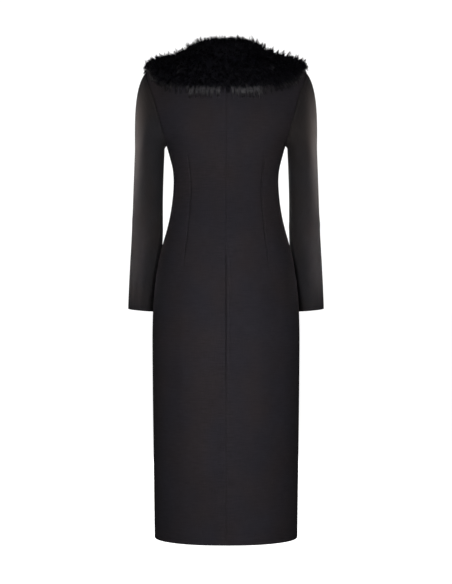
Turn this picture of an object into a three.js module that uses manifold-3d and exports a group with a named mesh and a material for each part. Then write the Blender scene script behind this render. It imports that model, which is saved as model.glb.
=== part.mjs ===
// A long fitted coat with a wide fur shawl collar, in the hollow form that it keeps when it is worn.
// Millimetres, +Z up. The wearer faces -Y and the wearer's left is +X.
// The origin is the middle of the neck's base.
//
// The body is one form, a stack of oval sections. Each panel is a wall cut from that form, the sleeves
// start at its armholes, and the collar lies on it.
import * as THREE from "three";
import { mergeVertices } from "three/addons/utils/BufferGeometryUtils.js";
import Module from "manifold-3d";

const wasm = await Module();
wasm.setup();

// ---------------------------------------------------------------- driving sizes
const CLOTH = 2.2; // wall of the coating cloth
const SEAM_GAP = 0.3; // clear space between two pieces at a seam
const SEAM_DIP = 0.7; // how far a pressed seam's edge sinks
const SEAM_WIDTH = 4; // from a seam's edge to the full height of the cloth
const HEM_Z = -1238;
const UNDERARM_Z = -217;
const SHOULDER_Z = -33; // the shoulder point, where the armhole begins
const NECK_Z = 5;
const LAP = 34; // each front passes the centre line by this much
const LAP_GAP = 1; // between the lapped fronts
const LAP_TOP_Z = -300; // the lapped edge starts here, and the neckline runs up from it
const DART_DIP = 1.3;
const DART_WIDTH = 5;
const COLUMNS_TO_DART = 3; // even columns between the centre edge and the dart
const COLUMNS_PAST_DART = 4; // and between the dart and the side
const CUFF_Z = -650;
const FUR_GAP = 0.6; // between the fur collar and the cloth that it lies on

// Oval sections of the worn coat. back and front are depths from the widest line, and power is the
// exponent of the superellipse: 2 is an ellipse, and more is squarer.
const SECTION_COLUMNS = ["z", "halfWidth", "back", "front", "power"];
const SECTIONS = [
  [HEM_Z, 185, 135, 128, 2.2],
  [-1130, 186.6, 134.5, 126, 2.2],
  [-1020, 188, 134.5, 125, 2.2],
  [-910, 189.5, 135, 124, 2.2],
  [-800, 190.6, 136, 123, 2.2],
  [-720, 191, 137, 122, 2.2],
  [-650, 189.5, 137, 120, 2.2],
  [-590, 184.5, 134, 117, 2.2],
  [-540, 177.5, 127, 113, 2.2],
  [-500, 169.5, 117, 109, 2.2],
  [-470, 161.5, 106, 105, 2.2],
  [-440, 153, 95, 101, 2.25],
  [-410, 146, 85, 97, 2.25],
  [-375, 140.3, 77, 93, 2.3],
  [-345, 137.2, 74, 93, 2.3],
  [-315, 135.8, 76, 99, 2.3],
  [-285, 138.2, 83, 112, 2.4],
  [-255, 145.5, 90, 127, 2.6],
  [-235, 150.8, 93.5, 132, 2.75],
  [UNDERARM_Z, 156.5, 96, 134, 2.85],
  [-203, 167, 97.5, 133, 2.7],
  [-180, 189, 99, 129, 2.35],
  [-150, 208, 100, 121, 2.2],
  [-118, 219, 97.5, 110, 2.15],
  [-88, 221, 92, 96, 2.12],
  [-62, 217.5, 84.5, 82, 2.1],
  [-45, 212.5, 78, 72, 2.08],
  [SHOULDER_Z, 206, 72, 65, 2.05],
  [-25, 182, 69, 61, 2],
  [-13, 141, 65, 57, 2],
  [-4, 107, 62, 54, 2],
  [NECK_Z, 72, 60, 52, 2],
];

// Where each armhole cuts the form: the distance from the centre line at the back and at the front.
const ARMHOLE_COLUMNS = ["z", "back", "front"];
const ARMHOLE = [
  [UNDERARM_Z, 156.5, 156.5],
  [-203, 160, 157],
  [-180, 165.5, 158.5],
  [-150, 173.5, 163.5],
  [-118, 182, 172],
  [-88, 191, 183],
  [-62, 200, 196],
  [-45, 205, 203],
  [SHOULDER_Z, 206, 206],
];

// The neckline's distance from the centre line. It crosses the centre where the fronts start to lap.
const NECKLINE_COLUMNS = ["z", "x"];
const NECKLINE = [
  [LAP_TOP_Z, -LAP],
  [-288, -14],
  [-272, 0],
  [-240, 14],
  [-200, 26],
  [-150, 37],
  [-100, 46],
  [-50, 53],
  [-13, 57],
  [NECK_Z, 59],
];

// The waist darts and the grain line that carries each one on to hem and shoulder.
const DART_COLUMNS = ["z", "back", "front"];
const DARTS = [
  [HEM_Z, 118, 104],
  [-800, 116, 102],
  [-546, 108, 96],
  [-470, 100.5, 92],
  [-400, 94, 90],
  [-335, 90.5, 90],
  [-255, 97, 94],
  [-150, 104, 100],
  [-62, 96, 108],
  [SHOULDER_Z, 86, 108],
  [-13, 62, 90],
  [NECK_Z, 34, 66],
];
const DART_ENDS = { back: [-546, -255], front: [-500, -262] };

// Sleeve sections below the cap: middle, half sizes, and the turn about the sleeve's length, in degrees.
const SLEEVE_COLUMNS = ["z", "x", "y", "halfWidth", "halfDepth", "turn"];
const SLEEVES = [
  [-232, 198.6, -10, 36.7, 64, 0],
  [-275, 200.3, -8, 36.6, 62, 0],
  [-320, 202, -8, 36.7, 60, 0],
  [-365, 203.4, -10, 37, 58, 0],
  [-400, 204.3, -14, 37.6, 57, 1],
  [-435, 205.3, -21, 38.2, 56, 3],
  [-475, 207.2, -32, 38.3, 55, 6],
  [-520, 210.8, -46, 37.2, 54, 11],
  [-570, 214.4, -61, 36, 53, 16],
  [-615, 217.4, -74, 35.2, 52, 19],
  [CUFF_Z, 219.4, -84, 34.8, 51, 21],
];
const CUFF_SLANT = 4; // the cuff's inner side is this much lower than its middle, and its outer side higher

// The collar's two edges on the coat, from the centre back (turn 0) to its tip at the front (turn 1).
// side is 1 on the back and -1 on the front. loft is the fur's depth by the neck, rimLoft its depth by the
// outer edge, and stand its rise at the neck.
const COLLAR_COLUMNS = ["innerX", "innerZ", "outerX", "outerZ", "side", "loft", "rimLoft", "stand"];
const COLLAR = [
  [0, 5, 0, -93, 1, 28, 28, 38],
  [31, 5, 52, -93, 1, 27, 28, 39],
  [52, 5, 104, -91, 1, 26, 28, 35],
  [65, 5, 150, -82, 1, 20, 24, 27],
  [70.5, 5, 178, -63, 1, 18, 26, 23],
  [72, 4.8, 192, -36, 0, 18, 32, 21],
  [66, -8, 185, -62, -1, 21, 28, 21],
  [61, -34, 174, -95, -1, 25, 28, 21],
  [54, -75, 156, -132, -1, 27, 28, 20],
  [44, -122, 133, -170, -1, 27, 27, 19],
  [33.5, -170, 107, -206, -1, 26, 26, 18],
  [22.5, -215, 79, -240, -1, 24, 24, 17],
  [12.5, -250, 50, -268, -1, 20, 20, 14],
  [8, -276, 24, -288, -1, 13, 13, 9],
];
const COLLAR_STATIONS = 36; // from the centre back to one tip
const TUFT = 3.2; // how far the fur's tufts stand out and sink

const BACK = 1;
const FRONT = -1;
const LEFT = 1;
const RIGHT = -1;

// ---------------------------------------------------------------- curves through the tables
// A smooth curve through one column of a table, against its first column, with no overshoot.
function columnCurve(rows, columns, name) {
  const c = columns.indexOf(name);
  const sorted = [...rows].sort((a, b) => a[0] - b[0]);
  const at = sorted.map((row) => row[0]);
  const value = sorted.map((row) => row[c]);
  const slope = at.slice(1).map((x, i) => (value[i + 1] - value[i]) / (x - at[i]));
  const tangent = at.map((_, i) => {
    if (i === 0) return slope[0];
    if (i === at.length - 1) return slope.at(-1);
    return slope[i - 1] * slope[i] <= 0 ? 0 : (2 * slope[i - 1] * slope[i]) / (slope[i - 1] + slope[i]);
  });
  return (x) => {
    const clamped = THREE.MathUtils.clamp(x, at[0], at.at(-1));
    let i = at.findIndex((_, k) => k < at.length - 1 && clamped <= at[k + 1]);
    if (i < 0) i = at.length - 2;
    const width = at[i + 1] - at[i];
    const t = (clamped - at[i]) / width;
    const rise = t * t * (3 - 2 * t);
    return (
      value[i] * (1 - rise) +
      value[i + 1] * rise +
      width * (tangent[i] * t * (1 - t) * (1 - t) - tangent[i + 1] * t * t * (1 - t))
    );
  };
}

// All the columns of a table but the first, as curves by name.
const curvesOf = (rows, columns) =>
  Object.fromEntries(columns.slice(1).map((name) => [name, columnCurve(rows, columns, name)]));

const form = curvesOf(SECTIONS, SECTION_COLUMNS);
const armhole = curvesOf(ARMHOLE, ARMHOLE_COLUMNS);
const neckline = curvesOf(NECKLINE, NECKLINE_COLUMNS);
const darts = curvesOf(DARTS, DART_COLUMNS);
const sleeve = curvesOf(SLEEVES, SLEEVE_COLUMNS);

const smoothStep = (t) => THREE.MathUtils.smoothstep(t, 0, 1);
const signedPower = (v, p) => Math.sign(v) * Math.abs(v) ** p;
const sideName = (side) => (side === BACK ? "back" : "front");

// ---------------------------------------------------------------- the body's form
// The point on the form at a level and an angle: 0 is the side line at +X and 90 degrees the centre line.
function formPoint(z, angle, side) {
  const p = 2 / form.power(z);
  return new THREE.Vector3(
    form.halfWidth(z) * signedPower(Math.cos(angle), p),
    side * form[sideName(side)](z) * Math.abs(Math.sin(angle)) ** p,
    z,
  );
}

const angleAtX = (x, z) =>
  Math.acos(THREE.MathUtils.clamp(signedPower(x / form.halfWidth(z), form.power(z) / 2), -1, 1));

const angleAtY = (y, z, side) => Math.asin(Math.abs(y / form[sideName(side)](z)) ** (form.power(z) / 2));

// Below 0 inside the form, 0 on it, above 0 outside.
function formField(p) {
  const depth = form[sideName(p.y < 0 ? FRONT : BACK)](p.z);
  const power = form.power(p.z);
  return Math.abs(p.x / form.halfWidth(p.z)) ** power + Math.abs(p.y / depth) ** power - 1;
}

function formNormal(p, side) {
  const step = 0.5;
  const power = form.power(p.z);
  const width = form.halfWidth(p.z);
  const depthAt = form[sideName(side)];
  const u = Math.abs(p.x) / width;
  const v = Math.abs(p.y) / depthAt(p.z);
  const widthSlope = (form.halfWidth(p.z + step) - form.halfWidth(p.z - step)) / (2 * step);
  const depthSlope = (depthAt(p.z + step) - depthAt(p.z - step)) / (2 * step);
  return new THREE.Vector3(
    (Math.sign(p.x) * u ** (power - 1)) / width,
    (side * v ** (power - 1)) / depthAt(p.z),
    -(u ** power * widthSlope) / width - (v ** power * depthSlope) / depthAt(p.z),
  ).normalize();
}

// The form's surface nearest to a point along a line through it.
function ontoForm(point, direction) {
  const reach = 70;
  const halvings = 40;
  let inside = -reach;
  let outside = reach;
  for (let i = 0; i < halvings; i++) {
    const middle = (inside + outside) / 2;
    const probe = point.clone().addScaledVector(direction, middle);
    if (formField(probe) < 0) inside = middle;
    else outside = middle;
  }
  return point.clone().addScaledVector(direction, (inside + outside) / 2);
}

// ---------------------------------------------------------------- solids from grids
// A quad as two triangles, split along its shorter diagonal.
function splitQuad(positions, [a, b, c, d]) {
  const pointAt = (k) => new THREE.Vector3().fromArray(positions, 3 * k);
  const span = (k, m) => pointAt(k).distanceTo(pointAt(m));
  return span(a, c) <= span(b, d) ? [a, b, c, a, c, d] : [a, b, d, b, c, d];
}

// A closed wall from a grid of { p, n }: the outer points and the directions out of the cloth.
// thick is the wall along n, longer than the cloth where n leans at a mitred edge.
function wallGeometry(grid) {
  const rows = grid.length;
  const columns = grid[0].length;
  const positions = [];
  const indices = [];
  for (const layer of [0, 1])
    for (const row of grid)
      for (const { p, n, thick = CLOTH } of row) {
        const q = p.clone().addScaledVector(n, -layer * thick);
        positions.push(q.x, q.y, q.z);
      }
  const at = (layer, i, j) => layer * rows * columns + i * columns + j;
  const quad = (...corners) => indices.push(...splitQuad(positions, corners));
  for (let i = 0; i + 1 < rows; i++)
    for (let j = 0; j + 1 < columns; j++) {
      const corners = [at(0, i, j), at(0, i, j + 1), at(0, i + 1, j + 1), at(0, i + 1, j)];
      const outside = splitQuad(positions, corners);
      indices.push(...outside, ...outside.toReversed().map((k) => k + rows * columns));
    }
  for (let i = 0; i + 1 < rows; i++) {
    quad(at(0, i, 0), at(0, i + 1, 0), at(1, i + 1, 0), at(1, i, 0));
    quad(at(0, i + 1, columns - 1), at(0, i, columns - 1), at(1, i, columns - 1), at(1, i + 1, columns - 1));
  }
  for (let j = 0; j + 1 < columns; j++) {
    quad(at(0, 0, j + 1), at(0, 0, j), at(1, 0, j), at(1, 0, j + 1));
    quad(at(0, rows - 1, j), at(0, rows - 1, j + 1), at(1, rows - 1, j + 1), at(1, rows - 1, j));
  }
  return solidGeometry(positions, indices);
}

// A closed body through rings of points, with a flat fan at each end.
function loftGeometry(rings) {
  const size = rings[0].length;
  const positions = rings.flat().flatMap((p) => [p.x, p.y, p.z]);
  const indices = [];
  for (let i = 0; i + 1 < rings.length; i++)
    for (let j = 0; j < size; j++) {
      const next = (j + 1) % size;
      const corners = [i * size + j, i * size + next, (i + 1) * size + next, (i + 1) * size + j];
      indices.push(...splitQuad(positions, corners));
    }
  for (const [ring, flip] of [[0, true], [rings.length - 1, false]]) {
    const middle = rings[ring].reduce((sum, p) => sum.add(p), new THREE.Vector3()).divideScalar(size);
    const hub = positions.length / 3;
    positions.push(middle.x, middle.y, middle.z);
    for (let j = 0; j < size; j++) {
      const [a, b] = [ring * size + j, ring * size + ((j + 1) % size)];
      indices.push(hub, ...(flip ? [b, a] : [a, b]));
    }
  }
  return solidGeometry(positions, indices);
}

// Turns the triangles round where the body came out inside out, as a mirrored one does.
function solidGeometry(positions, indices) {
  const corner = (k) => new THREE.Vector3().fromArray(positions, 3 * indices[k]);
  let volume = 0;
  for (let k = 0; k < indices.length; k += 3) volume += corner(k).dot(corner(k + 1).cross(corner(k + 2)));
  if (volume < 0)
    for (let k = 0; k < indices.length; k += 3) indices.splice(k, 2, indices[k + 1], indices[k]);
  const geometry = new THREE.BufferGeometry();
  geometry.setAttribute("position", new THREE.Float32BufferAttribute(positions, 3));
  geometry.setIndex(indices);
  geometry.computeVertexNormals();
  return geometry;
}

// A closed geometry as a solid that can be cut, and back again.
function solidFrom(geometry) {
  const bare = new THREE.BufferGeometry();
  bare.setAttribute("position", geometry.getAttribute("position")).setIndex(geometry.index);
  const { attributes, index } = mergeVertices(bare);
  const triVerts = new Uint32Array(index.array);
  const mesh = new wasm.Mesh({ numProp: 3, vertProperties: attributes.position.array, triVerts });
  return new wasm.Manifold(mesh);
}

function geometryFrom(solid) {
  const { vertProperties, triVerts } = solid.getMesh();
  const geometry = new THREE.BufferGeometry();
  geometry.setAttribute("position", new THREE.BufferAttribute(vertProperties, 3));
  geometry.setIndex(new THREE.BufferAttribute(triVerts, 1));
  geometry.computeVertexNormals();
  return geometry;
}

const mirrored = (v) => new THREE.Vector3(-v.x, v.y, v.z);

// ---------------------------------------------------------------- levels
// The armhole's levels lie closer at its ends, so that its outline is round there.
const ARMHOLE_STEPS = 11;
const ARMHOLE_LEVELS = Array.from({ length: ARMHOLE_STEPS + 1 }, (_, k) => {
  const t = (1 + Math.cos((Math.PI * k) / ARMHOLE_STEPS)) / 2;
  return THREE.MathUtils.lerp(SHOULDER_Z, UNDERARM_Z, t);
});
const BODY_LEVELS = [
  ...[HEM_Z, -1130, -1020, -910, -800, -720, -650, -590, -540, -500, -470, -440, -410, -375, -345],
  ...[-315, -300, -285, -270, -255, -236],
  ...ARMHOLE_LEVELS,
  ...[-25, -13, -4, NECK_Z],
];

// ---------------------------------------------------------------- the armhole seam
// The way the sleeve leaves the armhole, at the underarm, halfway up and at the shoulder point. away is the
// share towards +X and down the share towards -Z. Halfway up it also leaves towards the back or the front.
const SLEEVE_LEAVES = {
  underarm: { away: 0.3, down: 0.9 },
  middle: { away: 0.42, down: 0.5, aside: 0.22 },
  shoulder: { away: 0.54, down: 0.64 },
};
const LEAST_LEAN = 0.5; // keeps the wall's mitre at the armhole within twice the cloth

const inArmhole = (z) => z > UNDERARM_Z && z < SHOULDER_Z;

// The wearer's left armhole at one of its levels, on the back or the front: the seam point, the way the
// sleeve leaves it, and the direction of the mitre that body and sleeve share there.
function armholeSeam(k, side) {
  const z = ARMHOLE_LEVELS[k];
  const atEnd = k === 0 || k === ARMHOLE_STEPS;
  const x = atEnd ? form.halfWidth(z) : armhole[sideName(side)](z);
  const p = formPoint(z, atEnd ? 0 : angleAtX(x, z), side);
  const around = Math.PI * (1 - k / ARMHOLE_STEPS); // 0 at the shoulder point, 180 degrees at the underarm
  const rise = Math.cos(around);
  const { middle } = SLEEVE_LEAVES;
  const end = rise > 0 ? SLEEVE_LEAVES.shoulder : SLEEVE_LEAVES.underarm;
  const share = (name) => THREE.MathUtils.lerp(middle[name], end[name], Math.abs(rise));
  const aside = side * middle.aside * Math.sin(around);
  const leave = new THREE.Vector3(share("away"), aside, -share("down")).normalize();
  const tangent = armholeTangent(k, side);
  const body = formNormal(p, side);
  const outOfSleeve = new THREE.Vector3().crossVectors(leave, tangent).normalize();
  const mitre = body.clone().add(outOfSleeve).setY(atEnd ? 0 : body.y + outOfSleeve.y).normalize();
  const lean = Math.max(LEAST_LEAN, mitre.dot(body));
  const across = new THREE.Vector3().crossVectors(mitre, tangent).normalize();
  if (across.dot(leave) < 0) across.negate();
  return { p, leave, mitre, thick: CLOTH / lean, across, around };
}

// Along the armhole, up the front and down the back, so that leave x tangent points out of the sleeve.
function armholeTangent(k, side) {
  const pointAt = (level, s) => {
    if (level < 0) return pointAt(-level, -s);
    if (level > ARMHOLE_STEPS) return pointAt(2 * ARMHOLE_STEPS - level, -s);
    const z = ARMHOLE_LEVELS[level];
    const atEnd = level === 0 || level === ARMHOLE_STEPS;
    return formPoint(z, atEnd ? 0 : angleAtX(armhole[sideName(s)](z), z), s);
  };
  const way = side === BACK ? -1 : 1;
  return pointAt(k + way, side).sub(pointAt(k - way, side)).normalize();
}

// ---------------------------------------------------------------- body panels
// The upper front rises over the lower one between these distances past the centre line and levels.
const LIFT_ACROSS = [-100, -50];
const LIFT_DOWN = [-190, -265];
const DART_START = 0.25; // the dart's depth at its ends, as a share of its full depth
const DART_TAPER = 5; // how fast it reaches the full depth

// How far the upper front is lifted over the lower one where they lap.
function lapLift(x, z) {
  const share = (v, [from, to]) => smoothStep((v - from) / (to - from));
  return (CLOTH + LAP_GAP) * share(x, LIFT_ACROSS) * share(z, LIFT_DOWN);
}

function dartDip(z, side) {
  const [low, high] = DART_ENDS[sideName(side)];
  const t = (z - low) / (high - low);
  return t <= 0 || t >= 1 ? 0 : DART_DIP * Math.min(1, DART_TAPER * t * (1 - t) + DART_START);
}

// A section's angle at a length along it, between two angles, and the whole length.
function arcAlong(z, side, fromAngle, toAngle) {
  const steps = 160;
  const lengths = [0];
  const angleAt = (k) => THREE.MathUtils.lerp(fromAngle, toAngle, k / steps);
  for (let k = 1; k <= steps; k++) {
    const piece = formPoint(z, angleAt(k), side).distanceTo(formPoint(z, angleAt(k - 1), side));
    lengths.push(lengths[k - 1] + piece);
  }
  const total = lengths[steps];
  return {
    total,
    angleAtLength: (s) => {
      const k = Math.max(1, lengths.findIndex((length) => length >= Math.min(s, total)));
      return angleAt(k - 1 + (Math.min(s, total) - lengths[k - 1]) / (lengths[k] - lengths[k - 1]));
    },
  };
}

// The panel's columns at a level, as lengths from its centre edge and how far each one sinks: the edge,
// the seam's width, the dart with its two sides, the other seam's width and edge, and even ones between.
function panelColumns(length, dartAt, dip) {
  const seam = Math.min(SEAM_WIDTH, length / 10); // both narrow with the panel at its short top rows
  const dartSide = Math.min(DART_WIDTH, length / 9);
  const room = seam + 1.6 * dartSide;
  const dart = THREE.MathUtils.clamp(dartAt, room, length - room);
  const stops = [
    [0, SEAM_DIP],
    [seam, 0],
    [dart - dartSide, 0],
    [dart, dip],
    [dart + dartSide, 0],
    [length - seam, 0],
    [length, SEAM_DIP],
  ];
  const between = { 1: COLUMNS_TO_DART, 4: COLUMNS_PAST_DART };
  return stops.flatMap(([s, sink], k) => {
    const fillers = between[k] ?? 0;
    return Array.from({ length: fillers + 1 }, (_, m) =>
      m === 0 ? [s, sink] : [THREE.MathUtils.lerp(s, stops[k + 1][0], m / (fillers + 1)), 0],
    );
  });
}

// One side's panel of the back or the front, cut from the form for the wearer's left. Columns run from the
// centre edge, over the dart, to the side seam, armhole and shoulder seam.
function bodyGrid(side, hand) {
  const centreX = (z) => (side === BACK ? SEAM_GAP / 2 : z < LAP_TOP_Z ? -LAP : neckline.x(z));
  const isUpperLap = side === FRONT && hand === RIGHT;
  return BODY_LEVELS.map((z) => {
    const armholeLevel = ARMHOLE_LEVELS.indexOf(z);
    const endX = armhole[sideName(side)](z);
    const endAngle = inArmhole(z) ? angleAtX(endX, z) : angleAtY(SEAM_GAP / 2, z, side);
    const startAngle = angleAtX(centreX(z), z);
    const arc = arcAlong(z, side, startAngle, endAngle);
    const toDart = arcAlong(z, side, startAngle, angleAtX(darts[sideName(side)](z), z)).total;
    const columns = panelColumns(arc.total, toDart, dartDip(z, side));
    return columns.map(([s, sink], j) => {
      if (armholeLevel >= 0 && j === columns.length - 1) {
        const seam = armholeSeam(armholeLevel, side);
        const nudge = inArmhole(z) ? 0 : (side * SEAM_GAP) / 2;
        return { p: seam.p.clone().setY(seam.p.y + nudge), n: seam.mitre, thick: seam.thick };
      }
      const p = formPoint(z, arc.angleAtLength(s), side);
      const n = formNormal(p, side);
      const lift = isUpperLap ? lapLift(-p.x, z) : 0;
      const isFrontEdge = side === FRONT && j === 0;
      return { p: p.addScaledVector(n, lift - (isFrontEdge ? 0 : sink)), n };
    });
  });
}

const panel = (name, grid, hand, material) => namedMesh(name, wallGeometry(onHand(grid, hand)), material);

// A grid made for the wearer's left, on the side that it is for.
function onHand(grid, hand) {
  if (hand === LEFT) return grid;
  return grid.map((row) => row.map((v) => ({ ...v, p: mirrored(v.p), n: mirrored(v.n) })));
}

function namedMesh(name, geometry, material) {
  const mesh = new THREE.Mesh(geometry, material);
  mesh.name = name;
  return mesh;
}

// ---------------------------------------------------------------- sleeves
const CAP_STEPS = [0, 0.1, 0.25, 0.42, 0.6, 0.8];
const SLEEVE_LEVELS = SLEEVES.map((row) => row[0]);
const UNDER_SLEEVE_FROM = 2; // armhole steps from the underarm to each seam of the under sleeve
const SLEEVE_POWER = 2.15; // the exponent of the sleeve's sections
const CAP_FULLNESS = 0.75; // how far the sleeve cap runs on the way that it leaves the armhole

// The point of the sleeve's section at a level and an angle: 0 is its outer side and 90 degrees its back.
function sleevePoint(z, around) {
  const power = 2 / SLEEVE_POWER;
  const turn = THREE.MathUtils.degToRad(sleeve.turn(z));
  const u = sleeve.halfWidth(z) * signedPower(Math.cos(around), power);
  const v = sleeve.halfDepth(z) * signedPower(Math.sin(around), power);
  const slant = CUFF_SLANT * smoothStep((SLEEVES[0][0] - z) / (SLEEVES[0][0] - CUFF_Z));
  return new THREE.Vector3(
    sleeve.x(z) + u * Math.cos(turn) + v * Math.sin(turn),
    sleeve.y(z) - u * Math.sin(turn) + v * Math.cos(turn),
    z + slant * Math.cos(around),
  );
}

// One line down the sleeve, from the armhole's seam over the cap and down to the cuff.
function sleeveLine(k, side) {
  const seam = armholeSeam(k, side);
  const angle = side * seam.around;
  const start = seam.p.clone().addScaledVector(seam.across, SEAM_GAP);
  const end = sleevePoint(SLEEVE_LEVELS[0], angle);
  const reach = start.distanceTo(end);
  const leave = seam.leave.clone().multiplyScalar(CAP_FULLNESS * reach);
  const arrive = new THREE.Vector3(0, 0, -reach);
  const cap = CAP_STEPS.map((s) =>
    start
      .clone()
      .multiplyScalar((1 + 2 * s) * (1 - s) ** 2)
      .addScaledVector(leave, s * (1 - s) ** 2)
      .addScaledVector(end, s * s * (3 - 2 * s))
      .addScaledVector(arrive, s * s * (s - 1)),
  );
  return [...cap, ...SLEEVE_LEVELS.map((z) => sleevePoint(z, angle))];
}

// The lines between two armhole steps. Steps run from the underarm over the back to the shoulder point and
// on down the front: 0 is the underarm and 2 * ARMHOLE_STEPS the underarm again.
function sleeveGrid(from, to) {
  const lineAt = (step) => {
    const wrapped = (step + 2 * ARMHOLE_STEPS) % (2 * ARMHOLE_STEPS);
    return wrapped <= ARMHOLE_STEPS ? [wrapped, BACK] : [2 * ARMHOLE_STEPS - wrapped, FRONT];
  };
  const steps = Array.from({ length: to - from + 1 }, (_, i) => from + i);
  const lineFor = (step) => sleeveLine(...lineAt(step));
  const lines = steps.map(lineFor);
  const before = lineFor(from - 1);
  const after = lineFor(to + 1);
  const neighbour = (j) => (j < 0 ? before : j === lines.length ? after : lines[j]);
  return lines[0].map((_, i) =>
    lines.map((line, j) => {
      const seam = armholeSeam(...lineAt(steps[j]));
      const along = line[Math.min(i + 1, line.length - 1)].clone().sub(line[Math.max(i - 1, 0)]);
      const round = neighbour(j + 1)[i].clone().sub(neighbour(j - 1)[i]);
      const outward = round.cross(along).normalize();
      const n = i === 0 ? seam.mitre : outward;
      const p = line[i].clone();
      const isEdge = j === 0 || j === lines.length - 1;
      if (isEdge) {
        const sideways = along.cross(n).normalize();
        const inward = (j === 0 ? 1 : -1) * (SEAM_GAP / 2);
        p.addScaledVector(sideways, inward).addScaledVector(n, i === 0 ? 0 : -SEAM_DIP / 2);
      }
      return { p, n, thick: i === 0 ? seam.thick : CLOTH };
    }),
  );
}

const topSleeveGrid = () => sleeveGrid(UNDER_SLEEVE_FROM, 2 * ARMHOLE_STEPS - UNDER_SLEEVE_FROM);
const underSleeveGrid = () => sleeveGrid(-UNDER_SLEEVE_FROM, UNDER_SLEEVE_FROM);

// ---------------------------------------------------------------- fur collar
const FULL_LOFT = 20; // where the fur is thinner than this, its tufts shrink with it
const TURNS_DOWN = [0.3, 0.55]; // between these turns the collar's stand tilts from upright to flat

// The collar's edges on the form and its depths, at a turn from 0 (centre back) to 1 (front tip).
function collarEdges() {
  const column = (name) => COLLAR.map((row) => row[COLLAR_COLUMNS.indexOf(name)]);
  const edge = (xs, zs) => {
    const points = xs.map((x, i) => {
      const side = column("side")[i] || BACK;
      const z = zs[i];
      return formPoint(z, angleAtX(x, z), side);
    });
    const before = mirrored(points[1]);
    return new THREE.CatmullRomCurve3([before, ...points], false, "centripetal");
  };
  const inner = edge(column("innerX"), column("innerZ"));
  const outer = edge(column("outerX"), column("outerZ"));
  const numbers = (name) => {
    const rows = column(name).map((value, i) => [i / (COLLAR.length - 1), value]);
    return columnCurve(rows, ["turn", name], name);
  };
  const loft = numbers("loft");
  const rimLoft = numbers("rimLoft");
  const stand = numbers("stand");
  const segments = COLLAR.length;
  const past = 1 / segments; // the curves start one point before the centre back
  return (turn) => ({
    inner: inner.getPoint(past + turn * (1 - past)),
    outer: outer.getPoint(past + turn * (1 - past)),
    loft: loft(turn),
    rimLoft: rimLoft(turn),
    stand: stand(turn),
  });
}

// Across the collar on its underside, as shares of the way from the inner to the outer edge. It starts
// sunk, and the coat's own form then cuts it.
const UNDERSIDE = [0, 0.5, 1];
const SUNK = 8;
// Over the top, from the outer edge back to the neck: share of the way, and share of the loft.
const OVERSIDE = [
  [1.05, 0.36],
  [1.0, 0.76],
  [0.85, 0.95],
  [0.66, 1.02],
  [0.46, 1.05],
  [0.27, 1.1],
  [0.1, 1.14],
];

// One closed section of the collar. The wearer's left; tufts stand out and sink by turns.
function collarSection(edges, turn, index) {
  const { inner, outer, loft, rimLoft, stand } = edges(turn);
  const sideOf = (p) => (p.y < 0 ? FRONT : BACK);
  const innerNormal = formNormal(inner, sideOf(inner));
  const outerNormal = formNormal(outer, sideOf(outer));
  const lift = innerNormal.clone().add(outerNormal).normalize();
  const onCoat = (share) => {
    const chord = inner.clone().lerp(outer, share);
    if (share <= 0 || share > 1) return { p: chord, n: share > 1 ? outerNormal : innerNormal };
    const p = ontoForm(chord, lift);
    return { p, n: formNormal(p, sideOf(p)) };
  };
  const under = UNDERSIDE.map((share) => {
    const { p, n } = onCoat(share);
    return p.addScaledVector(n, -SUNK);
  });
  const tuft = (k) => {
    const uneven = 0.7 + 0.3 * Math.sin(1.7 * index + 2.3 * k);
    return ((index + k) % 2 ? 1 : -1) * TUFT * uneven;
  };
  const over = OVERSIDE.map(([share, height], k) => {
    const { p, n } = onCoat(Math.min(share, 1));
    const beyond = outer.clone().sub(inner).multiplyScalar(Math.max(share - 1, 0));
    const depth = THREE.MathUtils.lerp(loft, rimLoft, share) * height;
    return p.add(beyond).addScaledVector(n, depth + tuft(k) * Math.min(1, loft / FULL_LOFT));
  });
  const flat = smoothStep((turn - TURNS_DOWN[0]) / (TURNS_DOWN[1] - TURNS_DOWN[0]));
  const rise = new THREE.Vector3(0, 0, 1).lerp(innerNormal, flat).normalize();
  const out = innerNormal.clone().addScaledVector(rise, -innerNormal.dot(rise));
  if (out.lengthSq() < 0.05) out.copy(outer).sub(inner);
  out.normalize();
  // The stand's roll from its outer shoulder over the top and down by the neck: height, distance out.
  const roll = [
    [stand + tuft(1) * 0.4, loft * 0.72],
    [stand + 4 + tuft(0) * 0.4, loft * 0.32],
    [stand * 0.86, 2],
    [stand * 0.4, 1],
  ];
  const neck = roll.map(([up, away]) => inner.clone().addScaledVector(rise, up).addScaledVector(out, away));
  return [...under, ...over, ...neck];
}

function furCollar(name, material) {
  const edges = collarEdges();
  const left = Array.from({ length: COLLAR_STATIONS + 1 }, (_, i) =>
    collarSection(edges, i / COLLAR_STATIONS, i),
  );
  const right = left.slice(1).map((ring) => ring.map(mirrored));
  const whole = solidFrom(loftGeometry([...right.reverse(), ...left]));
  const plugs = [bodyPlug(), sleevePlug(LEFT), sleevePlug(RIGHT)];
  const cut = plugs.reduce((pelt, plug) => pelt.subtract(plug), whole);
  return namedMesh(name, geometryFrom(cut), material);
}

// The cloth's own points moved out by the collar's clearance.
const liftedRow = (row) => row.map(({ p, n }) => p.clone().addScaledVector(n, FUR_GAP));

// The body under the collar as one block, with the open neckline filled.
function bodyPlug() {
  const from = BODY_LEVELS.indexOf(LAP_TOP_Z) - 1;
  const lifted = (side, hand) => onHand(bodyGrid(side, hand), hand).slice(from).map(liftedRow);
  const [frontLeft, backLeft] = [lifted(FRONT, LEFT), lifted(BACK, LEFT)];
  const [backRight, frontRight] = [lifted(BACK, RIGHT), lifted(FRONT, RIGHT)];
  const rings = frontLeft.map((row, i) => [
    ...row,
    ...backLeft[i].toReversed(),
    ...backRight[i],
    ...frontRight[i].toReversed(),
  ]);
  rings.at(-1).forEach((p) => (p.z += FUR_GAP));
  return solidFrom(loftGeometry(rings));
}

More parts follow.
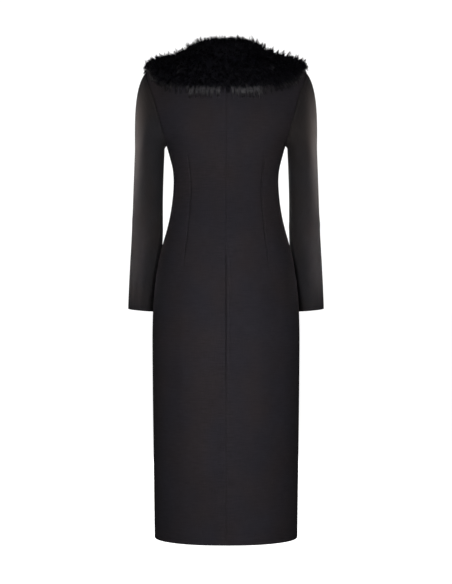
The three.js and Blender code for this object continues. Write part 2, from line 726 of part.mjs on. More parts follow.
// The sleeve head under the collar as one block, begun a little inside the body's.
function sleevePlug(hand) {
  const begin = new THREE.Vector3(-3 * hand, 0, 1);
  const lifted = (grid) => onHand(grid, hand).map(liftedRow);
  const under = lifted(underSleeveGrid());
  const top = lifted(topSleeveGrid());
  const rings = top.slice(0, CAP_STEPS.length + 1).map((row, i) => [...under[i], ...row]);
  return solidFrom(loftGeometry([rings[0].map((p) => p.clone().add(begin)), ...rings]));
}

// ---------------------------------------------------------------- the coat
const wool = new THREE.MeshStandardMaterial({ color: 0x242226, roughness: 0.9, metalness: 0 });
const fur = new THREE.MeshStandardMaterial({ color: 0x09080b, roughness: 0.75, metalness: 0 });

const coat = new THREE.Group();
for (const [hand, suffix] of [[LEFT, "left"], [RIGHT, "right"]]) {
  coat.add(
    panel(`back_${suffix}`, bodyGrid(BACK, hand), hand, wool),
    panel(`front_${suffix}`, bodyGrid(FRONT, hand), hand, wool),
    panel(`sleeve_top_${suffix}`, topSleeveGrid(), hand, wool),
    panel(`sleeve_under_${suffix}`, underSleeveGrid(), hand, wool),
  );
}
coat.add(furCollar("fur_collar", fur));

export default coat;
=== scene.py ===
# A long fitted black wool coat with a wide fur shawl collar, dressed over its CAD frame. Metres, +Z up.
# The wearer faces -Y and the wearer's left is +X. The origin is the middle of the neck's base. Each cloth
# piece is a thin shell on the form of its CAD wall, with creases placed one by one, and the collar is an
# undercoat with hair on it.
import math

import bmesh
import bpy
import numpy as np
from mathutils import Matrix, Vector


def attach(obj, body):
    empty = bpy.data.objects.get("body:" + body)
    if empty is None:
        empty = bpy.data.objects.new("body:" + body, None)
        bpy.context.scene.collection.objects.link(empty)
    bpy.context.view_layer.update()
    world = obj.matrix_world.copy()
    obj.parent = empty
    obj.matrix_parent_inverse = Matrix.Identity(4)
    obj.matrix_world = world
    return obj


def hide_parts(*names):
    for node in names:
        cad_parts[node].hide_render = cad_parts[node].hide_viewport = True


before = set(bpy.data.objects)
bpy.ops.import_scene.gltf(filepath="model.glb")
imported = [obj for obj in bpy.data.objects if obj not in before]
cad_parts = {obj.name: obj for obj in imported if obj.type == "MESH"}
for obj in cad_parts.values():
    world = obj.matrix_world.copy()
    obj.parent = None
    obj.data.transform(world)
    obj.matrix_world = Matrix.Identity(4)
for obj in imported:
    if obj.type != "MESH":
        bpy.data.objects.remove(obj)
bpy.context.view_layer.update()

# ---- driving sizes
CLOTH = 0.0019
FREE_EDGE = 0.0007  # how far a hem, a cuff and a front edge round out
SEAM_GAP = 0.00004  # sewn edges all but touch
HEM_Z = -1.238
UNDERARM_Z = -0.217
SHOULDER_Z = -0.033
NECK_Z = 0.005
LAP = 0.034
LAP_GAP = 0.001
LAP_CLOTH = 0.0022
LAP_TOP_Z = -0.3
CUFF_Z = -0.65
CUFF_SLANT = 0.004
SLEEVE_POWER = 2.15
CAP_FULLNESS = 0.75

BACK, FRONT = 1, -1
LEFT, RIGHT = 1, -1

# Oval sections of the worn coat, with the power of the superellipse.
SECTION_COLUMNS = ("z", "half_width", "back", "front", "power")
SECTIONS = (
    (HEM_Z, 0.185, 0.135, 0.128, 2.2),
    (-1.13, 0.1866, 0.1345, 0.126, 2.2),
    (-1.02, 0.188, 0.1345, 0.125, 2.2),
    (-0.91, 0.1895, 0.135, 0.124, 2.2),
    (-0.8, 0.1906, 0.136, 0.123, 2.2),
    (-0.72, 0.191, 0.137, 0.122, 2.2),
    (-0.65, 0.1895, 0.137, 0.12, 2.2),
    (-0.59, 0.1845, 0.134, 0.117, 2.2),
    (-0.54, 0.1775, 0.127, 0.113, 2.2),
    (-0.5, 0.1695, 0.117, 0.109, 2.2),
    (-0.47, 0.1615, 0.106, 0.105, 2.2),
    (-0.44, 0.153, 0.095, 0.101, 2.25),
    (-0.41, 0.146, 0.085, 0.097, 2.25),
    (-0.375, 0.1403, 0.077, 0.093, 2.3),
    (-0.345, 0.1372, 0.074, 0.093, 2.3),
    (-0.315, 0.1358, 0.076, 0.099, 2.3),
    (-0.285, 0.1382, 0.083, 0.112, 2.4),
    (-0.255, 0.1455, 0.09, 0.127, 2.6),
    (-0.235, 0.1508, 0.0935, 0.132, 2.75),
    (UNDERARM_Z, 0.1565, 0.096, 0.134, 2.85),
    (-0.203, 0.167, 0.0975, 0.133, 2.7),
    (-0.18, 0.189, 0.099, 0.129, 2.35),
    (-0.15, 0.208, 0.1, 0.121, 2.2),
    (-0.118, 0.219, 0.0975, 0.11, 2.15),
    (-0.088, 0.221, 0.092, 0.096, 2.12),
    (-0.062, 0.2175, 0.0845, 0.082, 2.1),
    (-0.045, 0.2125, 0.078, 0.072, 2.08),
    (SHOULDER_Z, 0.206, 0.072, 0.065, 2.05),
    (-0.025, 0.182, 0.069, 0.061, 2),
    (-0.013, 0.141, 0.065, 0.057, 2),
    (-0.004, 0.107, 0.062, 0.054, 2),
    (NECK_Z, 0.072, 0.06, 0.052, 2),
)

# The armhole's distance from the centre line.
ARMHOLE_COLUMNS = ("z", "back", "front")
ARMHOLE = (
    (UNDERARM_Z, 0.1565, 0.1565),
    (-0.203, 0.16, 0.157),
    (-0.18, 0.1655, 0.1585),
    (-0.15, 0.1735, 0.1635),
    (-0.118, 0.182, 0.172),
    (-0.088, 0.191, 0.183),
    (-0.062, 0.2, 0.196),
    (-0.045, 0.205, 0.203),
    (SHOULDER_Z, 0.206, 0.206),
)

NECKLINE_COLUMNS = ("z", "x")
NECKLINE = (
    (LAP_TOP_Z, -LAP),
    (-0.288, -0.014),
    (-0.272, 0),
    (-0.24, 0.014),
    (-0.2, 0.026),
    (-0.15, 0.037),
    (-0.1, 0.046),
    (-0.05, 0.053),
    (-0.013, 0.057),
    (NECK_Z, 0.059),
)

# The waist darts and the grain line that carries each one on to hem and shoulder.
DART_COLUMNS = ("z", "back", "front")
DARTS = (
    (HEM_Z, 0.118, 0.104),
    (-0.8, 0.116, 0.102),
    (-0.546, 0.108, 0.096),
    (-0.47, 0.1005, 0.092),
    (-0.4, 0.094, 0.09),
    (-0.335, 0.0905, 0.09),
    (-0.255, 0.097, 0.094),
    (-0.15, 0.104, 0.1),
    (-0.062, 0.096, 0.108),
    (SHOULDER_Z, 0.086, 0.108),
    (-0.013, 0.062, 0.09),
    (NECK_Z, 0.034, 0.066),
)
DART_ENDS = {BACK: (-0.546, -0.255), FRONT: (-0.5, -0.262)}

# Sleeve sections below the cap: middle, half sizes, and the turn about the sleeve's length, in degrees.
SLEEVE_COLUMNS = ("z", "x", "y", "half_width", "half_depth", "turn")
SLEEVES = (
    (-0.232, 0.1986, -0.01, 0.0367, 0.064, 0),
    (-0.275, 0.2003, -0.008, 0.0366, 0.062, 0),
    (-0.32, 0.202, -0.008, 0.0367, 0.06, 0),
    (-0.365, 0.2034, -0.01, 0.037, 0.058, 0),
    (-0.4, 0.2043, -0.014, 0.0376, 0.057, 1),
    (-0.435, 0.2053, -0.021, 0.0382, 0.056, 3),
    (-0.475, 0.2072, -0.032, 0.0383, 0.055, 6),
    (-0.52, 0.2108, -0.046, 0.0372, 0.054, 11),
    (-0.57, 0.2144, -0.061, 0.036, 0.053, 16),
    (-0.615, 0.2174, -0.074, 0.0352, 0.052, 19),
    (CUFF_Z, 0.2194, -0.084, 0.0348, 0.051, 21),
)
SLEEVE_TOP_Z = SLEEVES[0][0]

# The way the sleeve leaves the armhole: the shares away from the body, down, and towards its side.
SLEEVE_LEAVES = {
    "underarm": (0.3, 0.9, 0),
    "middle": (0.42, 0.5, 0.22),
    "shoulder": (0.54, 0.64, 0),
}
LEAST_LEAN = 0.5

# The collar's edges on the coat from the centre back to one tip, the hair's reach from the cloth by
# the neck (loft) and by the outer edge (rim_loft), and the stand's height.
COLLAR_COLUMNS = ("inner_x", "inner_z", "outer_x", "outer_z", "side", "loft", "rim_loft", "stand")
COLLAR = (
    (0, 0.005, 0, -0.093, 1, 0.028, 0.028, 0.038),
    (0.031, 0.005, 0.052, -0.093, 1, 0.027, 0.028, 0.039),
    (0.052, 0.005, 0.104, -0.091, 1, 0.026, 0.028, 0.035),
    (0.065, 0.005, 0.15, -0.082, 1, 0.02, 0.024, 0.027),
    (0.0705, 0.005, 0.178, -0.063, 1, 0.018, 0.026, 0.023),
    (0.072, 0.0048, 0.192, -0.036, 1, 0.018, 0.032, 0.021),
    (0.066, -0.008, 0.185, -0.062, -1, 0.021, 0.028, 0.021),
    (0.061, -0.034, 0.174, -0.095, -1, 0.025, 0.028, 0.021),
    (0.054, -0.075, 0.156, -0.132, -1, 0.027, 0.028, 0.02),
    (0.044, -0.122, 0.133, -0.17, -1, 0.027, 0.027, 0.019),
    (0.0335, -0.17, 0.107, -0.206, -1, 0.026, 0.026, 0.018),
    (0.0225, -0.215, 0.079, -0.24, -1, 0.024, 0.024, 0.017),
    (0.0125, -0.25, 0.05, -0.268, -1, 0.02, 0.02, 0.014),
    (0.008, -0.276, 0.024, -0.288, -1, 0.013, 0.013, 0.009),
)

# Soft troughs (positive depth) and ridges (negative) of the body, in the plane of x and z: middle,
# slant in degrees from level, half length, half width, depth.
BACK_CREASES = (
    # the small of the back
    (0.045, -0.352, 4, 0.075, 0.013, 0.0012),
    (-0.052, -0.331, -5, 0.07, 0.011, 0.001),
    (0.062, -0.305, 12, 0.06, 0.012, 0.0009),
    (-0.07, -0.378, 9, 0.055, 0.011, 0.0009),
    # from the back of each armhole towards the waist
    (0.137, -0.205, 67, 0.06, 0.014, 0.0016),
    (-0.134, -0.213, -69, 0.065, 0.015, 0.0014),
    (0.112, -0.17, 74, 0.07, 0.02, -0.0012),
    (-0.11, -0.176, -76, 0.07, 0.021, -0.001),
    # across the shoulder blades
    (0.05, -0.15, -6, 0.08, 0.03, -0.0008),
    (-0.055, -0.165, 5, 0.08, 0.028, -0.0009),
    # the skirt's hang
    (0.062, -0.86, 88, 0.34, 0.024, -0.0016),
    (0.135, -0.93, 91, 0.33, 0.02, 0.0018),
    (-0.07, -0.9, 91.5, 0.34, 0.026, -0.0014),
    (-0.13, -0.84, 89, 0.3, 0.019, 0.0015),
    (0.024, -1.06, 90.5, 0.22, 0.018, 0.0011),
    (-0.028, -0.7, 89, 0.18, 0.017, 0.0008),
)
FRONT_CREASES = (
    # the skirt's hang, and the pull from the bust to the waist
    (0.085, -0.9, 89, 0.34, 0.026, 0.0018),
    (-0.09, -0.85, 91, 0.34, 0.024, 0.0016),
    (0.14, -1.0, 90, 0.26, 0.02, -0.0016),
    (-0.142, -0.97, 90, 0.28, 0.021, -0.0014),
    (0.05, -0.335, 9, 0.06, 0.012, 0.0012),
    (-0.06, -0.352, -7, 0.06, 0.012, 0.001),
    (0.118, -0.3, 52, 0.05, 0.013, 0.0014),
    (-0.12, -0.31, -55, 0.05, 0.013, 0.0013),
    (0.125, -0.2, 66, 0.05, 0.014, 0.0014),
    (-0.123, -0.207, -64, 0.05, 0.015, 0.0013),
)

# The same on a sleeve laid flat: turn in degrees (0 its outer side, 90 its back), z, slant, half
# length, half width, depth.
LEFT_SLEEVE_CREASES = (
    (60, -0.405, 14, 0.05, 0.01, 0.0012),
    (95, -0.432, -10, 0.045, 0.009, 0.0014),
    (-70, -0.42, -16, 0.05, 0.01, 0.0018),
    (-95, -0.447, 8, 0.045, 0.0095, 0.002),
    (-60, -0.472, 10, 0.04, 0.009, 0.0014),
    (150, -0.452, 20, 0.03, 0.009, 0.0012),
    (110, -0.262, 58, 0.05, 0.013, 0.0018),
    (75, -0.215, 70, 0.055, 0.014, 0.0012),
    (-105, -0.262, -54, 0.05, 0.013, 0.0018),
    (30, -0.33, 84, 0.12, 0.018, -0.001),
    (-20, -0.54, 87, 0.1, 0.017, 0.0009),
    (80, -0.585, 83, 0.07, 0.014, 0.001),
)
RIGHT_SLEEVE_CREASES = (
    (52, -0.418, 10, 0.055, 0.011, 0.0013),
    (88, -0.446, -13, 0.04, 0.009, 0.0012),
    (-76, -0.41, -12, 0.05, 0.0105, 0.0017),
    (-90, -0.44, 11, 0.045, 0.009, 0.002),
    (-66, -0.478, 6, 0.04, 0.009, 0.0012),
    (156, -0.44, 16, 0.03, 0.009, 0.0013),
    (104, -0.27, 61, 0.05, 0.013, 0.0017),
    (80, -0.222, 66, 0.055, 0.015, 0.0013),
    (-110, -0.255, -57, 0.05, 0.013, 0.0017),
    (24, -0.35, 86, 0.12, 0.019, -0.0011),
    (-15, -0.555, 85, 0.1, 0.016, 0.001),
    (86, -0.57, 86, 0.07, 0.014, 0.0009),
)


# ---- curves through the tables
def smooth_step(t):
    t = np.clip(t, 0, 1)
    return t * t * (3 - 2 * t)


def eased(x, start, end):
    """0 up to start and 1 from end on, smooth between them."""
    return smooth_step((x - start) / (end - start))


def half_turn(turn):
    """The same turn, between -180 and 180 degrees."""
    return (turn + math.pi) % (2 * math.pi) - math.pi


def lengths_along(p):
    """Lengths down each line of points, from 0."""
    steps = np.linalg.norm(np.diff(p, axis=0), axis=-1)
    return np.concatenate([np.zeros((1, *steps.shape[1:])), np.cumsum(steps, 0)])


def mix(a, b, t):
    return a + (b - a) * t


def unit(v):
    return v / np.maximum(np.linalg.norm(v, axis=-1, keepdims=True), 1e-12)


def column_curve(rows, column):
    """A smooth curve through one column of a table, against its first one, with no overshoot."""
    rows = sorted(rows)
    at = np.array([row[0] for row in rows], float)
    value = np.array([row[column] for row in rows], float)
    slope = np.diff(value) / np.diff(at)
    tangent = np.concatenate([slope[:1], np.zeros(len(at) - 2), slope[-1:]])
    before, after = slope[:-1], slope[1:]
    same = before * after > 0
    tangent[1:-1][same] = 2 * before[same] * after[same] / (before[same] + after[same])

    def curve(x):
        x = np.clip(x, at[0], at[-1])
        i = np.clip(np.searchsorted(at, x) - 1, 0, len(at) - 2)
        width = at[i + 1] - at[i]
        t = (x - at[i]) / width
        rise = t * t * (3 - 2 * t)
        bend = tangent[i] * t * (1 - t) ** 2 - tangent[i + 1] * t * t * (1 - t)
        return value[i] * (1 - rise) + value[i + 1] * rise + width * bend

    return curve


def softened(curve, reach=0.016, fade=(-0.06, -0.12)):
    """The curve averaged over a few levels, so that matt cloth shows no bands at the table's rows."""
    weights = ((-1, 1), (-0.5, 4), (0, 6), (0.5, 4), (1, 1))

    def soft(z):
        window = reach * eased(np.asarray(z), *fade)
        total = sum(weight for _, weight in weights)
        return sum(weight * curve(z + step * window) for step, weight in weights) / total

    return soft


def curves_of(rows, columns, finish=lambda curve: curve):
    return {name: finish(column_curve(rows, k)) for k, name in enumerate(columns) if k}


FORM = curves_of(SECTIONS, SECTION_COLUMNS, softened)
ARMHOLE_X = curves_of(ARMHOLE, ARMHOLE_COLUMNS)
NECKLINE_X = curves_of(NECKLINE, NECKLINE_COLUMNS)["x"]
DART_X = curves_of(DARTS, DART_COLUMNS)
SLEEVE = curves_of(SLEEVES, SLEEVE_COLUMNS, softened)


# ---- the body's form
def by_side(curves, z, side):
    return np.where(np.asarray(side) > 0, curves["back"](z), curves["front"](z))


def signed_power(v, p):
    return np.sign(v) * np.abs(v) ** p


def form_point(z, angle, side):
    """The point of the form at a level and an angle: 0 is the side line at +X."""
    p = 2 / FORM["power"](z)
    x = FORM["half_width"](z) * signed_power(np.cos(angle), p)
    y = side * by_side(FORM, z, side) * np.abs(np.sin(angle)) ** p
    return np.stack(np.broadcast_arrays(x, y, z), -1)


def angle_at_x(x, z):
    return np.arccos(np.clip(signed_power(x / FORM["half_width"](z), FORM["power"](z) / 2), -1, 1))


def angle_at_y(y, z, side):
    return np.arcsin(np.abs(y / by_side(FORM, z, side)) ** (FORM["power"](z) / 2))


def form_field(p):
    """Below 0 inside the form, above 0 outside it."""
    x, y, z = np.moveaxis(p, -1, 0)
    depth, power = by_side(FORM, z, np.where(y < 0, FRONT, BACK)), FORM["power"](z)
    return np.abs(x / FORM["half_width"](z)) ** power + np.abs(y / depth) ** power - 1


def form_normal(p, side):
    step = 0.0005  # up and down, for the slopes
    x, y, z = np.moveaxis(p, -1, 0)
    power, width, depth = FORM["power"](z), FORM["half_width"](z), by_side(FORM, z, side)
    u, v = np.abs(x) / width, np.abs(y) / depth
    slope = lambda curve: (curve(z + step) - curve(z - step)) / (2 * step)
    narrowing, flattening = slope(FORM["half_width"]), slope(lambda z: by_side(FORM, z, side))
    down = u**power * narrowing / width + v**power * flattening / depth
    across = np.sign(x) * u ** (power - 1) / width
    return unit(np.stack([across, side * v ** (power - 1) / depth, -down], -1))


CHORD_DROP = 0.07  # no chord of the collar lies deeper than this under the form
HALVINGS = 30


def onto_form(p, direction):
    """The form's surface nearest to each point along a line through it."""
    inside, outside = np.full(p.shape[:-1], -CHORD_DROP), np.full(p.shape[:-1], CHORD_DROP)
    for _ in range(HALVINGS):
        middle = (inside + outside) / 2
        within = form_field(p + direction * middle[..., None]) < 0
        inside, outside = np.where(within, middle, inside), np.where(within, outside, middle)
    return p + direction * inside[..., None]


# ---- creases
SIDE_FADE = (-0.02, 0.035)  # a side's creases fade out between these depths past the side line


def hollow(u, v, slant, half_length, half_width, depth):
    along = u * np.cos(slant) + v * np.sin(slant)
    across = v * np.cos(slant) - u * np.sin(slant)
    return depth * np.exp(-((along / half_length) ** 2) - (across / half_width) ** 2)


def body_hollows(p):
    """How far the body's cloth sinks at each point."""
    total = np.zeros(p.shape[:-1])
    for side, creases in ((BACK, BACK_CREASES), (FRONT, FRONT_CREASES)):
        weight = eased(p[..., 1] * side, *SIDE_FADE)
        for x, z, slant, *sizes in creases:
            total += weight * hollow(p[..., 0] - x, p[..., 2] - z, math.radians(slant), *sizes)
    return total


SLEEVE_RADIUS = 0.052  # the mean one, which lays the sleeve flat


def sleeve_hollows(turn, z, creases):
    total = np.zeros(np.broadcast(turn, z).shape)
    for middle, level, slant, *sizes in creases:
        round_way = half_turn(turn - math.radians(middle))
        total += hollow(round_way * SLEEVE_RADIUS, z - level, math.radians(slant), *sizes)
    return total


# ---- seams
SEWN = 0.00006  # sewn edges press together at the middle of the cloth
SEAM_SINK = 0.0015
SEAM_ROLL = 0.0036  # the cloth rolls into its seam over this width
ALLOWANCE = 0.0105  # the pressed seam allowance shows through as a faint step this far from the seam
ALLOWANCE_STEP = 0.00022
ALLOWANCE_EDGE = 0.003
SLEEVE_SEAM_SHARE = 0.7
DART_SINK = 0.0036
DART_ROLL = 0.0025
DART_TAPER = 20  # a dart is at its full depth from a twentieth of its length on
VENT_TOP_Z, VENT_FOOT_Z = -0.512, -0.9  # the centre back seam lies deeper between these levels
CENTRE_SHARES = (0.6, 1.7)  # of the seam's sink: above and below, and what the deeper stretch adds
VENT_LINE_SINK = VENT_LINE_WIDTH = 0.0011


def seam_sink(distance, sink=SEAM_SINK):
    rolled = sink * np.clip(1 - distance / SEAM_ROLL, 0, 1) ** 2
    pressed = ALLOWANCE_STEP * smooth_step((distance - ALLOWANCE) / ALLOWANCE_EDGE + 0.5)
    return rolled + pressed - ALLOWANCE_STEP


def dart_sink(distance, z, side):
    low, high = DART_ENDS[side]
    t = np.clip((z - low) / (high - low), 0, 1)
    depth = np.minimum(1, DART_TAPER * t * (1 - t)) * DART_SINK
    return depth * np.clip(1 - np.abs(distance) / DART_ROLL, 0, 1) ** 1.2


def vent_stretch(z, top_fade, foot_fade):
    """1 between the two levels above. It fades out over top_fade and foot_fade, inside them."""
    return smooth_step((VENT_TOP_Z - z) / top_fade) * smooth_step((z - VENT_FOOT_Z) / foot_fade)


def centre_back_sink(z):
    """The centre back seam's depth by level: deeper and darker from the seat to the knee."""
    deeper = vent_stretch(z, 0.01, 0.2)
    return SEAM_SINK * (CENTRE_SHARES[0] + CENTRE_SHARES[1] * deeper)


def vent_line(distance, z):
    """A faint pressed line beside the centre back seam, on the wearer's right."""
    on = vent_stretch(z, 0.006, 0.15)
    return VENT_LINE_SINK * on * np.exp(-(((distance - ALLOWANCE) / VENT_LINE_WIDTH) ** 2))


# ---- shells
def shell(name, outer, normal, thickness, uv, bulge):
    """A closed sheet from a grid of outer points. bulge rounds its four rims outward: first row, last
    column, last row, first column."""
    rows, columns = outer.shape[:2]
    inner = outer - normal * thickness[..., None]
    grid = np.arange(rows * columns).reshape(rows, columns)
    rim = [
        (grid[0, :], grid[1, :], bulge[0]),
        (grid[:, -1], grid[:, -2], bulge[1]),
        (grid[-1, ::-1], grid[-2, ::-1], bulge[2]),
        (grid[::-1, 0], grid[::-1, 1], bulge[3]),
    ]
    flat_outer, flat_inner, flat_uv = outer.reshape(-1, 3), inner.reshape(-1, 3), uv.reshape(-1, 2)
    push = np.zeros_like(flat_outer)
    for edge, next_in, amount in rim:
        push[edge] += unit(flat_outer[edge] - flat_outer[next_in]) * amount
    loop = np.concatenate([edge[:-1] for edge, _, _ in rim])
    middle = (flat_outer[loop] + flat_inner[loop]) / 2 + push[loop]
    vertices = np.concatenate([flat_outer, flat_inner, middle])
    a, b, c, d = grid[:-1, :-1], grid[:-1, 1:], grid[1:, 1:], grid[1:, :-1]
    face = np.stack([a, b, c, d], -1).reshape(-1, 4)
    after = np.roll(loop, -1)
    count = rows * columns
    mid = 2 * count + np.arange(len(loop))
    mid_after = np.roll(mid, -1)
    rim_out = np.stack([after, loop, mid, mid_after], -1)
    rim_in = np.stack([mid_after, mid, loop + count, after + count], -1)
    faces = np.concatenate([face, face[:, ::-1] + count, rim_out, rim_in])
    return named_mesh(name, vertices, faces.tolist(), np.concatenate([flat_uv, flat_uv, flat_uv[loop]]))


def linked(name, data):
    """A new object of the scene with this data."""
    made = bpy.data.objects.new(name, data)
    bpy.context.scene.collection.objects.link(made)
    return made


def named_mesh(name, vertices, faces, uv=None, turn_out=True):
    """A smooth-shaded mesh object. turn_out turns faces of either winding outward."""
    mesh = bpy.data.meshes.new(name)
    mesh.from_pydata(vertices.tolist(), [], faces)
    if uv is not None:
        corner = np.empty(len(mesh.loops), dtype=np.int32)
        mesh.loops.foreach_get("vertex_index", corner)
        mesh.uv_layers.new(name="cloth").data.foreach_set("uv", uv[corner].ravel())
    if turn_out:
        work = bmesh.new()
        work.from_mesh(mesh)
        bmesh.ops.recalc_face_normals(work, faces=work.faces)
        work.to_mesh(mesh)
        work.free()
    mesh.shade_smooth()
    return linked(name, mesh)


def handed(points, hand):
    return points * np.array([hand, 1, 1])


# ---- body panels
ROW_STEP = 0.0085
ARMHOLE_STEPS = 33
EDGE_STOPS = np.array([0, 0.0004, 0.001, 0.0018, 0.0027, 0.0038, 0.006])
PRESS_STOPS = np.array([0.0088, 0.0097, 0.0105, 0.0113, 0.0124])
DART_STOPS = np.array([0.0005, 0.0012, 0.0023, 0.004])
EVEN_COLUMNS = (14, 18)  # between the centre's stops and the dart, and from the dart to the side
FULL_STOPS = 0.085  # on a panel narrower than this, the stops draw together
DART_ROOM = 0.006
ARC_SAMPLES = 241
MITRE_REACH = 0.005  # the walls turn to the armhole's mitre over this width


def even_levels(low, high, step):
    return np.linspace(low, high, math.ceil((high - low) / step) + 1)


def armhole_level(turn):
    """The level on the armhole at a turn: 0 at the shoulder point and 180 degrees at the underarm."""
    return mix(SHOULDER_Z, UNDERARM_Z, (1 - np.cos(turn)) / 2)


ARMHOLE_TURNS = np.linspace(math.pi, 0, ARMHOLE_STEPS + 1)
HEM_STOPS = np.array([0, 0.0006, 0.0016, 0.004])
HEM_ROOM = 0.009  # from a hem or cuff to the first even level
BELOW_ARMHOLE = np.concatenate([HEM_Z + HEM_STOPS, even_levels(HEM_Z + HEM_ROOM, UNDERARM_Z, ROW_STEP)[:-1]])
ABOVE_ARMHOLE = even_levels(SHOULDER_Z, NECK_Z, 0.0019)[1:]
BODY_LEVELS = np.concatenate([BELOW_ARMHOLE, armhole_level(ARMHOLE_TURNS), ABOVE_ARMHOLE])
IN_ARMHOLE = slice(len(BELOW_ARMHOLE), len(BODY_LEVELS) - len(ABOVE_ARMHOLE))


def armhole_point(turn):
    """The wearer's left armhole: turn is 0 at the shoulder point, positive over the back."""
    z, side = armhole_level(turn), np.where(turn >= 0, BACK, FRONT)
    ends = np.abs(np.sin(turn)) < 1e-6
    x = np.where(ends, FORM["half_width"](z), by_side(ARMHOLE_X, z, side))
    return form_point(z, np.where(ends, 0, angle_at_x(x, z)), side)


def armhole_seam(turn):
    """Seam point, the way the sleeve leaves it, the mitre that both pieces share, the way across the
    seam towards the sleeve, and how much the mitre lengthens the wall."""
    turn = half_turn(np.asarray(turn))
    side = np.where(turn >= 0, BACK, FRONT)
    rise, small = np.cos(turn), 0.02
    middle = np.array(SLEEVE_LEAVES["middle"])
    end = np.where(rise[:, None] > 0, SLEEVE_LEAVES["shoulder"], SLEEVE_LEAVES["underarm"])
    away, down, _ = np.moveaxis(mix(middle, end, np.abs(rise)[:, None]), -1, 0)
    leave = unit(np.stack([away, middle[2] * np.sin(turn), -down], -1))
    p = armhole_point(turn)
    tangent = unit(armhole_point(turn + small) - armhole_point(turn - small))
    body = form_normal(p, side)
    out_of_sleeve = unit(np.cross(leave, tangent))
    mitre = unit(body + out_of_sleeve)
    across = unit(np.cross(mitre, tangent))
    across *= np.sign(np.sum(across * leave, -1, keepdims=True))
    lean = np.maximum(LEAST_LEAN, np.sum(mitre * body, -1))
    return p, leave, mitre, across, 1 / lean


def section_arc(z, side, start, end):
    """Angles along one section and the lengths to them."""
    angles = np.linspace(start, end, ARC_SAMPLES)
    return angles, lengths_along(form_point(z, angles, side))


def panel_stops(length, dart):
    """Column lengths from the centre edge: close together at the seams, the pressed line and the dart."""
    near = min(1, length / FULL_STOPS)
    first = np.concatenate([EDGE_STOPS, PRESS_STOPS]) * near
    last = length - EDGE_STOPS[::-1] * near
    room = DART_ROOM * near + DART_STOPS[-1]
    dart = np.clip(dart, first[-1] + room, last[0] - room)
    middle = np.concatenate([dart - DART_STOPS[::-1] * near, [dart], dart + DART_STOPS * near])
    before = np.linspace(first[-1], middle[0], EVEN_COLUMNS[0] + 2)[1:-1]
    after = np.linspace(middle[-1], last[0], EVEN_COLUMNS[1] + 2)[1:-1]
    return np.concatenate([first, before, middle, after, last]), dart


def lap_lift(x, z):
    """The upper front rises over the lower one where they lap."""
    across, down = smooth_step((x + 0.1) / 0.05), smooth_step((-0.19 - z) / 0.075)
    return (LAP_CLOTH + LAP_GAP) * across * down


def body_grid(side, hand):
    """One side's panel of the back or front, for the wearer's left: points, normals, thickness, uv."""
    rows = []
    for z in BODY_LEVELS:
        centre = SEAM_GAP / 2 if side == BACK else -LAP if z < LAP_TOP_Z else NECKLINE_X(z)
        if UNDERARM_Z + 1e-6 < z < SHOULDER_Z - 1e-6:
            end = angle_at_x(by_side(ARMHOLE_X, z, side), z)
        else:
            end = angle_at_y(SEAM_GAP / 2, z, side)
        arc, at = section_arc(z, side, angle_at_x(centre, z), end)
        to_dart = np.interp(-angle_at_x(by_side(DART_X, z, side), z), -arc, at)
        columns, dart = panel_stops(at[-1], to_dart)
        rows.append((columns, np.interp(columns, at, arc), [dart], [at[-1]]))
    s, angle, dart, length = [np.array(column) for column in zip(*rows)]
    z = np.broadcast_to(BODY_LEVELS[:, None], s.shape)
    p = form_point(z, angle, side)
    n = form_normal(p, side)
    thickness = np.full(s.shape, CLOTH)
    join_armhole(p, n, thickness, length - s, side)
    sink = body_hollows(handed(p, hand)) + seam_sink(length - s)
    if side == BACK:
        sink += seam_sink(s, centre_back_sink(z))
        sink += vent_line(s, z) if hand == RIGHT else 0
    if side == FRONT and hand == RIGHT:
        sink -= lap_lift(-p[..., 0], z)
    sunk = p - n * sink[..., None]
    sunk[..., 1] -= np.sign(p[..., 1]) * dart_sink(s - dart, z, side)
    return sunk, n, thickness, np.stack([s * hand, z], -1)


def join_armhole(p, n, thickness, to_edge, side):
    """Turns the panel's last columns to the mitre that it shares with the sleeve."""
    rows = IN_ARMHOLE
    point, _, mitre, _, lengthen = armhole_seam(side * ARMHOLE_TURNS)
    nudge = np.zeros_like(point)
    nudge[[0, -1], 1] = side * SEAM_GAP / 2
    lean = np.clip(1 - to_edge[rows] / MITRE_REACH, 0, 1)[..., None]
    p[rows, -1] = point + nudge
    n[rows] = unit(mix(n[rows], mitre[:, None, :], lean))
    thickness[rows] *= mix(1, lengthen[:, None], lean[..., 0])


def body_piece(name, side, hand):
    p, n, thickness, uv = body_grid(side, hand)
    bulge = (FREE_EDGE, SEWN, SEWN, FREE_EDGE if side == FRONT else SEWN)
    return shell(name, handed(p, hand), handed(n, hand), thickness, uv, bulge)


# ---- sleeves
SLEEVE_SEAM_TURN = math.pi * (1 - 2 / 11)  # each side of the underarm, where top and under sleeve meet
CAP_STEPS = np.array([0, 0.004, 0.01, 0.018, 0.03, 0.05, 0.08, *np.linspace(0.12, 0.97, 20)])
SLEEVE_LEVELS = np.concatenate(
    [even_levels(CUFF_Z + HEM_ROOM, SLEEVE_TOP_Z, ROW_STEP)[::-1], CUFF_Z + HEM_STOPS[::-1]]
)
EDGE_TURNS = np.radians([0, 0.4, 1.0, 1.8, 2.8, 4.2])
SLEEVE_COLUMN = math.pi / 34


def sleeve_point(z, turn):
    """The sleeve's section: turn 0 is its outer side, 90 degrees its back."""
    twist = np.radians(SLEEVE["turn"](z))
    u = SLEEVE["half_width"](z) * signed_power(np.cos(turn), 2 / SLEEVE_POWER)
    v = SLEEVE["half_depth"](z) * signed_power(np.sin(turn), 2 / SLEEVE_POWER)
    slant = CUFF_SLANT * eased(z, SLEEVE_TOP_Z, CUFF_Z)
    x = SLEEVE["x"](z) + u * np.cos(twist) + v * np.sin(twist)
    y = SLEEVE["y"](z) - u * np.sin(twist) + v * np.cos(twist)
    return np.stack(np.broadcast_arrays(x, y, z + slant * np.cos(turn)), -1)


